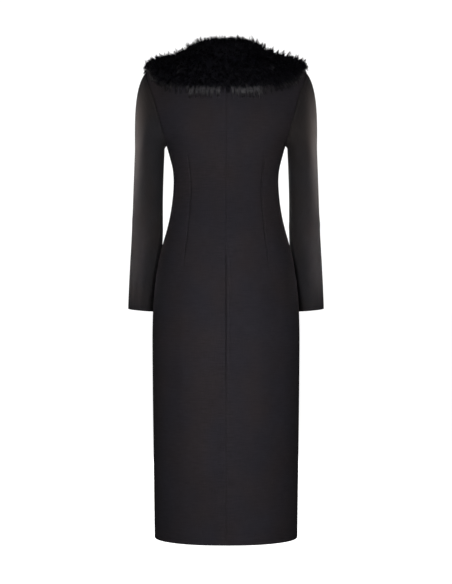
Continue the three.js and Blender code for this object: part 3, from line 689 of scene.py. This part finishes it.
def sleeve_surface(turn):
    """Lines down the sleeve at each turn, from the armhole's seam over the cap and down to the cuff."""
    seam, leave, _, across, _ = armhole_seam(turn)
    start = seam + across * SEAM_GAP
    end = sleeve_point(np.full(turn.shape, SLEEVE_TOP_Z), turn)
    reach = np.linalg.norm(end - start, axis=-1, keepdims=True)
    s = CAP_STEPS[:, None, None]
    cap = (
        start * (1 + 2 * s) * (1 - s) ** 2
        + leave * CAP_FULLNESS * reach * s * (1 - s) ** 2
        + end * s * s * (3 - 2 * s)
        + np.array([0, 0, -1.0]) * reach * s * s * (s - 1)
    )
    return np.concatenate([cap, sleeve_point(SLEEVE_LEVELS[:, None], turn[None, :])])


def sleeve_turns(start, end):
    """Turns from one seam to the other, close together at both."""
    count = max(6, round((end - start) / SLEEVE_COLUMN))
    even = np.linspace(start + EDGE_TURNS[-1], end - EDGE_TURNS[-1], count)[1:-1]
    return np.concatenate([start + EDGE_TURNS, even, end - EDGE_TURNS[::-1]])


def sleeve_piece(name, start, end, hand, creases):
    turn, small = sleeve_turns(start, end), 0.008
    p = sleeve_surface(turn)
    _, _, mitre, _, lengthen = armhole_seam(turn)
    along = np.gradient(p, axis=0)
    n = unit(np.cross(sleeve_surface(turn + small) - sleeve_surface(turn - small), along))
    from_seam = lengths_along(p)
    lean = np.clip(1 - from_seam / MITRE_REACH, 0, 1)
    n = unit(mix(n, mitre[None], lean[..., None]))
    thickness = CLOTH * mix(1, lengthen[None], lean)
    to_edge = np.minimum(turn - start, end - turn) * SLEEVE_RADIUS
    below_cap = smooth_step((from_seam - 0.004) / 0.01)
    wrapped = half_turn(turn)
    sink = seam_sink(from_seam) + below_cap * sleeve_hollows(wrapped[None], p[..., 2], creases)
    sink += (seam_sink(to_edge) * SLEEVE_SEAM_SHARE)[None] * np.where(from_seam > 0, 1, 0)
    sideways = unit(np.cross(along, n))
    inward = np.zeros(len(turn))
    inward[0], inward[-1] = SEAM_GAP / 2, -SEAM_GAP / 2
    p = p + sideways * inward[None, :, None] - n * sink[..., None]
    uv = np.stack(np.broadcast_arrays(wrapped[None] * SLEEVE_RADIUS + 1, -from_seam), -1)
    return shell(name, handed(p, hand), handed(n, hand), thickness, uv, (SEWN, SEWN, FREE_EDGE, SEWN))


# ---- materials
THREADS = 280  # bands of the wave texture: about one thread each 1.1 mm
MIX_SHARE, MIX_FIRST, MIX_SECOND, MIX_COLOUR = 0, 6, 7, 2  # the sockets of a Mix node for colours


def node_tree(name):
    material = bpy.data.materials.new(name)
    material.use_nodes = True
    tree = material.node_tree
    return material, tree, tree.nodes["Principled BSDF"]


def feed(tree, socket, value):
    """Links another node's output into a socket, or sets its number or colour."""
    if isinstance(value, bpy.types.NodeSocket):
        tree.links.new(value, socket)
    else:
        socket.default_value = value


def feed_all(tree, node, **inputs):
    for key, value in inputs.items():
        feed(tree, node.inputs[key.replace("_", " ")], value)


def add_node(tree, kind, settings=(), **inputs):
    node = tree.nodes.new("ShaderNode" + kind)
    for key, value in dict(settings).items():
        setattr(node, key, value)
    feed_all(tree, node, **inputs)
    return node


def combine(tree, operation, first, second, kind="Math"):
    node = add_node(tree, kind, {"operation": operation})
    feed(tree, node.inputs[0], first)
    feed(tree, node.inputs[1], second)
    return node.outputs[0]


def noise(tree, vector, scale, detail=2.0):
    scaled = add_node(tree, "Mapping", Vector=vector, Scale=scale).outputs["Vector"]
    return add_node(tree, "TexNoise", Vector=scaled, Scale=1.0, Detail=detail).outputs["Fac"]


def bands(tree, vector, way, scale, distortion):
    settings = {"wave_type": "BANDS", "bands_direction": way}
    inputs = {"Vector": vector, "Scale": scale, "Distortion": distortion, "Detail": 1.0, "Detail_Scale": 0.4}
    return add_node(tree, "TexWave", settings, **inputs).outputs["Fac"]


def ramp(tree, share, *stops):
    """A ramp between two stops, each a position and a colour."""
    node = add_node(tree, "ValToRGB", Fac=share)
    for element, (position, colour) in zip(node.color_ramp.elements, stops):
        element.position, element.color = position, (*colour, 1)
    return node.outputs["Color"]


def shaded(colour, share):
    return [channel * share for channel in colour]


def wool(name, colour):
    """Matt black wool coating: a fine cross weave, a soft nap, faint slubs and slight patches of tint."""
    material, tree, shader = node_tree(name)
    cloth = add_node(tree, "UVMap", {"uv_map": "cloth"}).outputs["UV"]
    place = add_node(tree, "TexCoord").outputs["Object"]
    weft, warp = bands(tree, cloth, "Y", THREADS, 2.0), bands(tree, cloth, "X", THREADS * 1.1, 1.5)
    slubs, warp_slubs = noise(tree, cloth, (45, 420, 1)), noise(tree, cloth, (420, 45, 1))
    streaks, mottle = noise(tree, cloth, (14, 170, 1)), noise(tree, place, (7, 7, 9), 3.0)
    total = combine(tree, "MULTIPLY", slubs, 0.38)
    for source, amount in ((warp_slubs, 0.2), (streaks, 0.12), (mottle, 0.2), (weft, 0.1)):
        part = combine(tree, "MULTIPLY", source, amount)
        total = combine(tree, "ADD", total, part)
    tone = ramp(tree, total, (0.28, shaded(colour, 0.68)), (0.72, shaded(colour, 1.36)))
    patches = noise(tree, place, (11, 11, 8), 1.0)
    tint = ramp(tree, patches, (0.35, (0.95, 0.97, 1.09)), (0.65, (1.06, 0.99, 1.0)))
    threads = combine(tree, "ADD", weft, warp)
    fine = add_node(tree, "Bump", Height=threads, Strength=0.35, Distance=0.00025).outputs["Normal"]
    nap = add_node(tree, "Bump", Height=slubs, Normal=fine, Strength=0.25, Distance=0.0005)
    feed_all(
        tree,
        shader,
        Base_Color=combine(tree, "MULTIPLY", tone, tint, "VectorMath"),
        Normal=nap.outputs["Normal"],
        Roughness=0.86,
        Specular_IOR_Level=0.04,
        Sheen_Weight=0.012,
        Sheen_Roughness=0.55,
        Sheen_Tint=(0.7, 0.68, 0.72, 1),
    )
    return material


def fur_material(name, colour, tip_highlight):
    """Near-black hair, with painted highlights that lighten its tips towards grey. Their share is stored on
    the mesh.
    """
    material, tree, shader = node_tree(name)
    highlight_share = add_node(tree, "Attribute", {"attribute_name": "tip_highlight"}).outputs["Fac"]
    strands = noise(tree, add_node(tree, "TexCoord").outputs["Object"], (260, 260, 130))
    base = ramp(tree, strands, (0.3, shaded(colour, 0.6)), (0.75, shaded(colour, 1.5)))
    tips = add_node(tree, "Mix", {"data_type": "RGBA"})
    for k, value in ((MIX_SHARE, highlight_share), (MIX_FIRST, base), (MIX_SECOND, (*tip_highlight, 1))):
        feed(tree, tips.inputs[k], value)
    feed_all(tree, shader, Base_Color=tips.outputs[MIX_COLOUR], Roughness=0.55, Specular_IOR_Level=0.12)
    return material


# ---- the fur collar
CENTRE_TURNS = 121  # sections from the centre back to one tip
# Over the collar from beyond its outer edge to the neck: share of the way out, share of the loft.
OVERSIDE = ((1.2, 0.06), (1.12, 0.14), (1.05, 0.36), (1, 0.76), (0.85, 0.95), (0.66, 1.02), (0.46, 1.05))
OVERSIDE += ((0.27, 1.1), (0.1, 1.14))
RIM = (3.7, 2.9)  # where the undercoat ends, in steps of the section: at the back, and past the shoulders
SECTION_FINE = 8  # samples to a step of the section
CORE_CLEAR = 0.001  # between the coat's form and the fur's core
CREST_RISE = 0.004
UNDERCOAT_HEIGHT = 0.55  # as a share of the hair's
LUMP_HEIGHT = 0.0011  # of the undercoat's tufts
POINTS_OVER, POINTS_UNDER = 37, 12  # the undercoat's points over the collar and back under it


def catmull_rom(points, t):
    """The centripetal curve through points, at a share t of the steps between them."""
    p = np.array([2 * points[0] - points[1], *points, 2 * points[-1] - points[-2]])
    at = np.clip(t, 0, 1) * (len(points) - 1)
    i = np.minimum(at.astype(int), len(points) - 2)
    w = (at - i)[:, None]
    a, b, c, d = p[i], p[i + 1], p[i + 2], p[i + 3]
    root = lambda step: np.maximum(np.linalg.norm(step, axis=1, keepdims=True) ** 0.5, 1e-4)
    first, second, third = root(b - a), root(c - b), root(d - c)
    leave = ((b - a) / first - (c - a) / (first + second) + (c - b) / second) * second
    arrive = ((c - b) / second - (d - b) / (second + third) + (d - c) / third) * second
    rise = w * w * (3 - 2 * w)
    return b * (1 - rise) + c * rise + leave * w * (1 - w) ** 2 - arrive * w * w * (1 - w)


def collar_column(name):
    return np.array([row[COLLAR_COLUMNS.index(name)] for row in COLLAR], float)


def collar_edge(edge, turn):
    x, z, side = [collar_column(name) for name in (f"{edge}_x", f"{edge}_z", "side")]
    points = form_point(z, angle_at_x(x, z), side)
    before = points[1] * np.array([-1, 1, 1])
    past = 1 / len(points)
    return catmull_rom(np.concatenate([before[None], points]), past + turn * (1 - past))


def collar_sections(turn):
    """The sections of the hair's envelope and of the core under it: arrays of section by step."""
    inner, outer = collar_edge("inner", turn), collar_edge("outer", turn)
    steps = np.linspace(0, 1, len(COLLAR))
    along = lambda name: column_curve(list(zip(steps, collar_column(name))), 1)(turn)[:, None]
    loft, rim_loft, stand = along("loft"), along("rim_loft"), along("stand")
    side_of = lambda p: np.where(p[..., 1] < 0, FRONT, BACK)
    normal_at = lambda p: form_normal(p, side_of(p))
    inner_normal, outer_normal = normal_at(inner), normal_at(outer)
    lift = unit(inner_normal + outer_normal)
    envelope, core = [], []
    for share, height in OVERSIDE:
        on = onto_form(mix(inner, outer, share), lift if share <= 1 else outer_normal)
        n = normal_at(on)
        envelope.append(on + n * mix(loft, rim_loft, min(share, 1)) * height)
        core.append(on + n * CORE_CLEAR)
    flat = smooth_step((turn - 0.3) / 0.25)[:, None]
    rise = unit(mix(np.array([0, 0, 1.0]), inner_normal, flat))
    out = inner_normal - rise * np.sum(inner_normal * rise, -1, keepdims=True)
    weak = np.sum(out * out, -1, keepdims=True) < 0.05
    out = unit(np.where(weak, outer - inner, out))
    crest = ((stand, loft * 0.72), (stand + CREST_RISE, loft * 0.32))
    inside = ((stand * 0.86, 2 * CORE_CLEAR), (stand * 0.4, CORE_CLEAR))
    for up, away in (*crest, *inside):
        envelope.append(inner + rise * up + out * away)
        core.append(inner + rise * stand * 0.45 + out * loft * 0.3)
    return np.stack(envelope, 1), np.stack(core, 1)


def refined(sections):
    """More samples along each section, on a smooth curve through its points."""
    t = np.linspace(0, 1, (sections.shape[1] - 1) * SECTION_FINE + 1)
    return np.stack([catmull_rom(list(section), t) for section in sections])


class CollarField:
    """The collar's surfaces by turn (0 at the centre back, 1 at the tip, negative on the wearer's
    right) and step of the section."""

    def __init__(self):
        turn = np.linspace(0, 1, CENTRE_TURNS)
        envelope, core = collar_sections(turn)
        self.envelope, self.core = refined(envelope), refined(core)
        self.under = mix(self.core, self.envelope, UNDERCOAT_HEIGHT)
        self.last_step = envelope.shape[1] - 1

    def sample(self, surface, turn, step):
        """Points of a surface, mirrored for negative turns."""
        rows, columns = surface.shape[:2]
        at_turn = np.clip(np.abs(turn), 0, 1) * (rows - 1)
        at_step = np.clip(step, 0, self.last_step) * SECTION_FINE
        i, j = np.minimum(at_turn.astype(int), rows - 2), np.minimum(at_step.astype(int), columns - 2)
        u, v = (at_turn - i)[..., None], (at_step - j)[..., None]
        top = mix(surface[i, j], surface[i, j + 1], v)
        low = mix(surface[i + 1, j], surface[i + 1, j + 1], v)
        return mix(top, low, u) * np.where(turn[..., None] < 0, [-1, 1, 1], 1)

    def metric(self, turn, step):
        """Metres to one unit of turn and of step, and the normal out of the collar."""
        d_turn, d_step = 0.004, 0.1
        at = lambda turn, step: self.sample(self.under, turn, step)
        by_turn = at(turn + d_turn, step) - at(turn - d_turn, step)
        by_step = at(turn, step + d_step) - at(turn, step - d_step)
        n = unit(np.cross(by_turn, by_step))
        out = self.sample(self.envelope, turn, step) - self.sample(self.core, turn, step)
        n *= np.sign(np.sum(n * out, -1, keepdims=True))
        length = lambda v: np.linalg.norm(v, axis=-1)
        return length(by_turn) / (2 * d_turn), length(by_step) / (2 * d_step), n

    def at_height(self, turn, step, height):
        """A point over the collar at a share of the envelope's height."""
        low, high = self.sample(self.core, turn, step), self.sample(self.envelope, turn, step)
        return mix(low, high, height[..., None])


TUFT_COUNT = 3100
HAIRS_TO_TUFT = 13
HAIR_LENGTH = 0.021
HAIR_RADIUS = 0.00046
TUFT_RADIUS = 0.0021
TUFT_SPREAD = 0.0034
TIP_SPREAD = (0.0012, 0.001)  # across the tuft and along it
BEND_AT, BEND_OUT = 0.42, 0.2  # where a hair bends, and how far out, as shares of its length
CROWN = (7.2, 9.2)  # between these steps of the section the hair starts to stand up
STANDS_UP = (0.25, 0.75)  # and where the collar faces up by this much
FRINGE_HIGHLIGHT = 0.3  # hair with this much painted tip highlight or more lies in the fringe
STOPS_SHORT = 0.6  # a hair ends up to this share before its tuft's tip
FRINGE_SHORT = 0.45  # and in the fringe up to this share of that
FRINGE_RADIUS = HAIR_RADIUS * 2.3
STRAND_MIDDLE = 0.55  # where a hair's second ring of vertices lies
STRAND_HIGHLIGHT = (0, 0, 0, 0.7, 0.7, 0.7, 1)  # painted tip highlight on three vertices at the root, three above them, and the tip
FRONT_TURN = 0.42  # where the pieces of hair part


def rim_step(turn):
    return mix(*RIM, smooth_step((np.abs(turn) - 0.2) / 0.12))


def last_tips(turn, rng):
    """The step where the hair stops, a little past the undercoat."""
    return rim_step(turn) - rng.uniform(0.3, 1.1, len(turn))


def tuft_places(field, rng):
    """Turn and step of each tuft, spread evenly over the collar's area, on both sides."""
    turn_grid, share = np.meshgrid(np.linspace(0.002, 0.998, 160), np.linspace(0, 1, 90), indexing="ij")
    step_grid = mix(rim_step(turn_grid), field.last_step - 0.2, share)
    by_turn, by_step, _ = field.metric(turn_grid, step_grid)
    area = (by_turn * by_step * (1 + 0.8 * smooth_step((step_grid - CROWN[0]) / 2))).ravel()
    pick = rng.choice(area.size, TUFT_COUNT, p=area / area.sum())
    turn = turn_grid.ravel()[pick] + rng.uniform(-0.003, 0.003, TUFT_COUNT)
    step = step_grid.ravel()[pick] + rng.uniform(-0.05, 0.05, TUFT_COUNT)
    return turn * np.where(rng.random(TUFT_COUNT) < 0.5, -1, 1), step


def strand_mesh(root, control, tip, radius, rng):
    """Three-sided spikes along bent lines, as vertices and triangles."""
    count = len(root)
    side = unit(np.cross(tip - root, rng.normal(size=(count, 3))))
    other = unit(np.cross(tip - root, side))
    rings = []
    for t in (0, STRAND_MIDDLE):
        middle = root * (1 - t) ** 2 + control * 2 * t * (1 - t) + tip * t * t
        width = (radius * (1 - t) ** 0.7)[:, None]
        for k in range(3):
            angle = 2 * math.pi * k / 3
            rings.append(middle + (side * math.cos(angle) + other * math.sin(angle)) * width)
    vertices = np.stack([*rings, tip], 1)
    spike = [(0, 2, 1)]
    for k in range(3):
        after = (k + 1) % 3
        spike += [(k, after, after + 3), (k, after + 3, k + 3), (3 + k, 3 + after, 6)]
    faces = np.array(spike)[None] + len(STRAND_HIGHLIGHT) * np.arange(count)[:, None, None]
    return vertices.reshape(-1, 3), faces.reshape(-1, 3).tolist()


# Tufts laid one by one on each side of the centre back: from and to turn, from and to step of their roots,
# how many, how far their tips lie past the roots, their share of the hair's height, and the painted
# highlight on the tips.
LAID = (
    # the fringe of the lower edge, with more painted highlight on its tips by the centre
    (0.026, 0.12, 4.1, 4.1, 6, 5.2, 0.95, 1),
    (0.034, 0.128, 4, 4, 6, 4.4, 0.95, 0.9),
    (0.024, 0.14, 4, 4, 8, 2.8, 0.95, 0.6),
    (0.14, 0.225, 4, 4, 5, 3.4, 0.95, 0.35),
    (0.002, 0.01, 3.9, 3.9, 2, 2.6, 0.9, 0),
    (0.18, 0.36, 4, 3.4, 24, 2.2, 0.9, 0.1),
    # stray hairs on the shoulder blade
    (0.2, 0.215, 5.6, 5.8, 2, 1.1, 1.1, 0.3),
    # the crest round the neck, and its sides, which lean out
    (0.01, 0.36, 10.6, 10.6, 26, 0.5, 1.14, 0),
    (0, 0.37, 10.1, 10, 24, 0.7, 1.16, 0),
    (0.01, 0.2, 9.5, 9.4, 15, 0.9, 1.16, 0),
    (0.16, 0.39, 9.5, 9, 16, 0.1, 1.6, 0),
    (0.2, 0.41, 9, 8.4, 16, 0.1, 1.85, 0),
    (0.22, 0.4, 8.6, 8.2, 12, 0.1, 1.6, 0),
    # inside the neck
    (0, 0.5, 11.6, 11.5, 20, 1.1, 1.25, 0),
    (0.01, 0.5, 11, 11, 20, 0.9, 1.2, 0),
    # over the shoulder, from the neck to the rim
    (0.34, 0.36, 8.2, 3.6, 11, 0.2, 1.36, 0),
    (0.38, 0.38, 8, 3.4, 11, 0.2, 1.42, 0),
    (0.41, 0.41, 8.2, 3.2, 11, 0.2, 1.4, 0),
    (0.3, 0.44, 4, 3.3, 16, 1.3, 1, 0),
    # the slope from the crest down to the shoulder
    (0.25, 0.36, 8, 7.6, 12, 0, 1.9, 0),
    (0.28, 0.38, 7.2, 6.8, 10, 0, 1.6, 0),
)


def laid_tufts(rng):
    """The turns and steps of root and tip, the height and the painted tip highlight of the tufts in the
    table above.
    """
    rows = []
    for from_turn, to_turn, from_step, to_step, count, reach, height, tip_highlight in LAID:
        for hand in (LEFT, RIGHT):
            turn = np.linspace(from_turn, to_turn, count) + rng.uniform(-0.003, 0.003, count)
            step = np.linspace(from_step, to_step, count) + rng.uniform(-0.15, 0.15, count)
            tip = step - reach * rng.uniform(0.75, 1.15, count)
            tall = height * rng.uniform(0.86, 1.14, count)
            rows.append([hand * turn, hand * turn, step, tip, tall, np.full(count, tip_highlight)])
    return np.concatenate(rows, axis=1)


def fur_pieces(material):
    field, rng = CollarField(), np.random.default_rng(11)
    undercoat = undercoat_piece(field, material)
    turn, step = tuft_places(field, rng)
    by_turn, by_step, normal = field.metric(turn, step)
    upright = np.maximum(eased(step, *CROWN), eased(normal[:, 2], *STANDS_UP))
    length = HAIR_LENGTH * rng.uniform(0.7, 1.25, TUFT_COUNT) * mix(1, 0.5, upright)
    tip_turn = turn + rng.normal(0, 0.22, TUFT_COUNT) * mix(1, 1.5, upright) * length / by_turn
    tip_step = np.maximum(step - length * 0.95 / by_step, last_tips(turn, rng))
    height = mix(rng.uniform(0.74, 1.06, TUFT_COUNT), rng.uniform(0.92, 1.24, TUFT_COUNT), upright)
    # a faint painted highlight on the tips, different for each tuft
    tip_highlight = 0.03 * rng.random(TUFT_COUNT)
    tufts = np.concatenate([[turn, tip_turn, step, tip_step, height, tip_highlight], laid_tufts(rng)], axis=1)
    turn, tip_turn, step, tip_step, height, tip_highlight = tufts
    by_turn, by_step, _ = field.metric(turn, step)
    repeat = lambda a: np.repeat(a, HAIRS_TO_TUFT, axis=0)
    count = len(turn) * HAIRS_TO_TUFT
    root_turn = repeat(turn) + rng.normal(0, TUFT_SPREAD, count) / repeat(by_turn)
    root_step = repeat(step) + rng.normal(0, TUFT_SPREAD, count) / repeat(by_step)
    root_step = np.clip(root_step, rim_step(root_turn), field.last_step)
    root_turn = np.where(repeat(turn) > 0, 1, -1) * np.abs(root_turn)
    root = field.sample(field.under, root_turn, root_step)
    short = rng.uniform(0, STOPS_SHORT, count) ** 1.7  # mostly a little
    fringe = repeat(tip_highlight) > FRINGE_HIGHLIGHT
    short[fringe] *= FRINGE_SHORT
    end_turn = mix(repeat(tip_turn), root_turn, short * 0.5)
    end_turn += rng.normal(0, TIP_SPREAD[0], count) / repeat(by_turn)
    end_step = mix(repeat(tip_step), root_step, short)
    end_step += rng.normal(0, TIP_SPREAD[1], count) / repeat(by_step)
    tall = repeat(height) * (1 - 0.2 * short) * rng.uniform(0.94, 1.03, count)
    tip = field.at_height(end_turn, end_step, tall)
    _, _, normal = field.metric(root_turn, root_step)
    reach = np.linalg.norm(tip - root, axis=-1, keepdims=True)
    control = mix(root, tip, BEND_AT) + normal * reach * BEND_OUT
    radius = HAIR_RADIUS * rng.uniform(0.7, 1.3, count)
    radius[::HAIRS_TO_TUFT] = TUFT_RADIUS * rng.uniform(0.7, 1.2, len(turn))
    radius[fringe] = FRINGE_RADIUS
    # each hair's share of its tuft's painted tip highlight
    tip_highlight = repeat(tip_highlight) * rng.uniform(0.4, 1.1, count)
    pieces = [undercoat]
    for name, chosen in (
        ("fur_hair_back_left", (root_turn >= 0) & (root_turn < FRONT_TURN)),
        ("fur_hair_front_left", root_turn >= FRONT_TURN),
        ("fur_hair_back_right", (root_turn < 0) & (root_turn > -FRONT_TURN)),
        ("fur_hair_front_right", root_turn <= -FRONT_TURN),
    ):
        vertices, faces = strand_mesh(root[chosen], control[chosen], tip[chosen], radius[chosen], rng)
        piece = named_mesh(name, vertices, faces, turn_out=False)
        store_tip_highlight(piece, np.outer(tip_highlight[chosen], STRAND_HIGHLIGHT).ravel())
        piece.data.materials.append(material)
        pieces.append(piece)
    return pieces


# Stores each vertex's share of the painted highlight on the hair's tips.
def store_tip_highlight(piece, values):
    piece.data.attributes.new("tip_highlight", "FLOAT", "POINT").data.foreach_set("value", values)


def undercoat_piece(field, material):
    """The closed, tufted body that the hair grows from."""
    turn = np.linspace(-1, 1, 2 * CENTRE_TURNS - 1)
    grid_turn, share = np.meshgrid(turn, np.linspace(0, 1, POINTS_OVER), indexing="ij")
    grid_step = mix(rim_step(grid_turn), field.last_step, share)
    along, across = grid_turn * 190 + 2 * np.sin(grid_step * 5), grid_step * 7 + 3 * np.sin(grid_turn * 60)
    _, _, normal = field.metric(grid_turn, grid_step)
    lumps = normal * (LUMP_HEIGHT * np.sin(along) * np.sin(across))[..., None]
    over = field.sample(field.under, grid_turn, grid_step) + lumps
    low_turn, share = np.meshgrid(turn, np.linspace(0, 1, POINTS_UNDER), indexing="ij")
    low_step = mix(field.last_step - 0.6, rim_step(low_turn), share)
    core, under = field.sample(field.core, low_turn, low_step), field.sample(field.under, low_turn, low_step)
    ring = np.concatenate([over, mix(core, under, 0.04)], 1)
    rows, columns = ring.shape[:2]
    grid = np.arange(rows * columns).reshape(rows, columns)
    around = np.roll(grid, -1, axis=1)
    faces = np.stack([grid[:-1], around[:-1], around[1:], grid[1:]], -1).reshape(-1, 4).tolist()
    hub = rows * columns  # the first tip's middle, and the other's after it
    faces += [(hub, b, a) for a, b in zip(grid[0], around[0])]
    faces += [(hub + 1, a, b) for a, b in zip(grid[-1], around[-1])]
    vertices = np.concatenate([ring.reshape(-1, 3), [ring[0].mean(0), ring[-1].mean(0)]])
    piece = named_mesh("fur_undercoat", vertices, faces)
    store_tip_highlight(piece, np.zeros(len(vertices)))
    piece.data.materials.append(material)
    return piece


# ---- the coat
WOOL = (0.0210, 0.0190, 0.0209)
# The sleeves' wool is the body's wool painted darker and warmer: painted shade, set to how the light falls
# on the sleeves.
SLEEVE_WOOL_PAINTED_SHADE = (0.0190, 0.0178, 0.0176)
FUR = (0.0024, 0.0022, 0.0042)
# the colour of the painted highlight on the hair's tips
TIP_HIGHLIGHT_COLOUR = (0.1, 0.097, 0.102)


def dress(piece, node):
    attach(piece, "root")
    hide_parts(node)


def make_cloth():
    # the sleeves take a darker, warmer copy of the body's wool: painted shade
    body_wool, sleeve_wool_painted_shade = wool("wool_body", WOOL), wool("wool_sleeve_painted_shade", SLEEVE_WOOL_PAINTED_SHADE)
    seam, round_way = SLEEVE_SEAM_TURN, 2 * math.pi - SLEEVE_SEAM_TURN
    hands = ((LEFT, "left", LEFT_SLEEVE_CREASES), (RIGHT, "right", RIGHT_SLEEVE_CREASES))
    for hand, suffix, creases in hands:
        made = {
            "back": body_piece(f"cloth_back_{suffix}", BACK, hand),
            "front": body_piece(f"cloth_front_{suffix}", FRONT, hand),
            "sleeve_top": sleeve_piece(f"cloth_sleeve_top_{suffix}", -seam, seam, hand, creases),
            "sleeve_under": sleeve_piece(f"cloth_sleeve_under_{suffix}", seam, round_way, hand, creases),
        }
        for part, piece in made.items():
            piece.data.materials.append(sleeve_wool_painted_shade if part.startswith("sleeve") else body_wool)
            dress(piece, f"{part}_{suffix}")


def make_fur():
    for piece in fur_pieces(fur_material("black_fur", FUR, TIP_HIGHLIGHT_COLOUR)):
        dress(piece, "fur_collar")


# ---- the studio
CAMERA_DISTANCE = 3.67
CAMERA_Z = -0.603
FOCAL_PIXELS = 1411.5
PICTURE_HEIGHT = 584
SENSOR_WIDTH = 36
FAR = 60
FLOOR_Z = -1.46


def make_camera():
    data = bpy.data.cameras.new("camera")
    data.sensor_width = SENSOR_WIDTH
    data.lens = FOCAL_PIXELS / PICTURE_HEIGHT * data.sensor_width
    data.clip_end = FAR
    camera = linked("camera", data)
    camera.location = (0, CAMERA_DISTANCE, CAMERA_Z)
    camera.rotation_euler = (math.pi / 2, 0, math.pi)
    bpy.context.scene.camera = camera


def make_floor():
    mesh = bpy.data.meshes.new("floor")
    corners = [(x * FAR, y * FAR, FLOOR_Z) for x, y in ((-1, -1), (1, -1), (1, 1), (-1, 1))]
    mesh.from_pydata(corners, [], [(0, 1, 2, 3)])
    floor = linked("floor", mesh)
    material, tree, shader = node_tree("pale_floor")
    feed_all(tree, shader, Base_Color=(0.5, 0.5, 0.5, 1), Roughness=0.9)
    feed_all(tree, shader, Emission_Color=(1, 1, 1, 1), Emission_Strength=1.0)
    mesh.materials.append(material)
    floor.visible_diffuse = False
    floor.visible_glossy = False


def make_world():
    """White where the camera sees it, and dim as a light."""
    world = bpy.data.worlds.new("studio")
    world.use_nodes = True
    tree = world.node_tree
    seen = add_node(tree, "LightPath").outputs["Is Camera Ray"]
    strength = add_node(tree, "MapRange", Value=seen, To_Min=0.02, To_Max=1.1).outputs["Result"]
    feed_all(tree, tree.nodes["Background"], Color=(1, 1, 1, 1), Strength=strength)
    bpy.context.scene.world = world


def make_light(name, place, target, size, power, colour=(1, 1, 1), spread=180):
    data = bpy.data.lights.new(name, "AREA")
    data.shape = "RECTANGLE"
    data.size, data.size_y = size
    data.energy = power
    data.color = colour
    data.spread = math.radians(spread)
    light = linked(name, data)
    light.location = place
    aim = np.array(target, float) - np.array(place, float)
    light.rotation_euler = Vector(aim).to_track_quat("-Z", "Y").to_euler()
    return light


RIM_COLOUR, ARM_COLOUR = (1, 0.92, 0.85), (1, 0.94, 0.88)


def make_lights():
    strip = make_light("strip", (0, 0.8, -0.68), (0, 0, -0.75), (0.12, 1.6), 7.6)
    strip.visible_camera = False
    make_light("key", (0, 4.4, -0.5), (0, 0, -0.7), (0.8, 0.7), 24)
    for side in (LEFT, RIGHT):
        place, target = (side * 1.0, -0.36, -0.12), (side * 0.25, 0, -0.23)
        make_light(f"rim_{side}", place, target, (0.64, 0.12), 1.65, RIM_COLOUR, spread=28)
        place, target = (side * 1.3, 0.5, -0.35), (side * 0.21, -0.02, -0.35)
        make_light(f"arm_{side}", place, target, (0.03, 0.52), 0.33, ARM_COLOUR, spread=9)
        make_light(f"side_{side}", (side * 3.0, -2.2, -0.2), (0, 0, -0.6), (1.2, 1.6), 22)
    make_light("front", (0.5, -3.4, 0.1), (0, 0, -0.65), (1.6, 2), 90)


make_cloth()
make_fur()
make_camera()
make_world()
make_floor()
make_lights()
bpy.context.scene.view_settings.view_transform = "Standard"
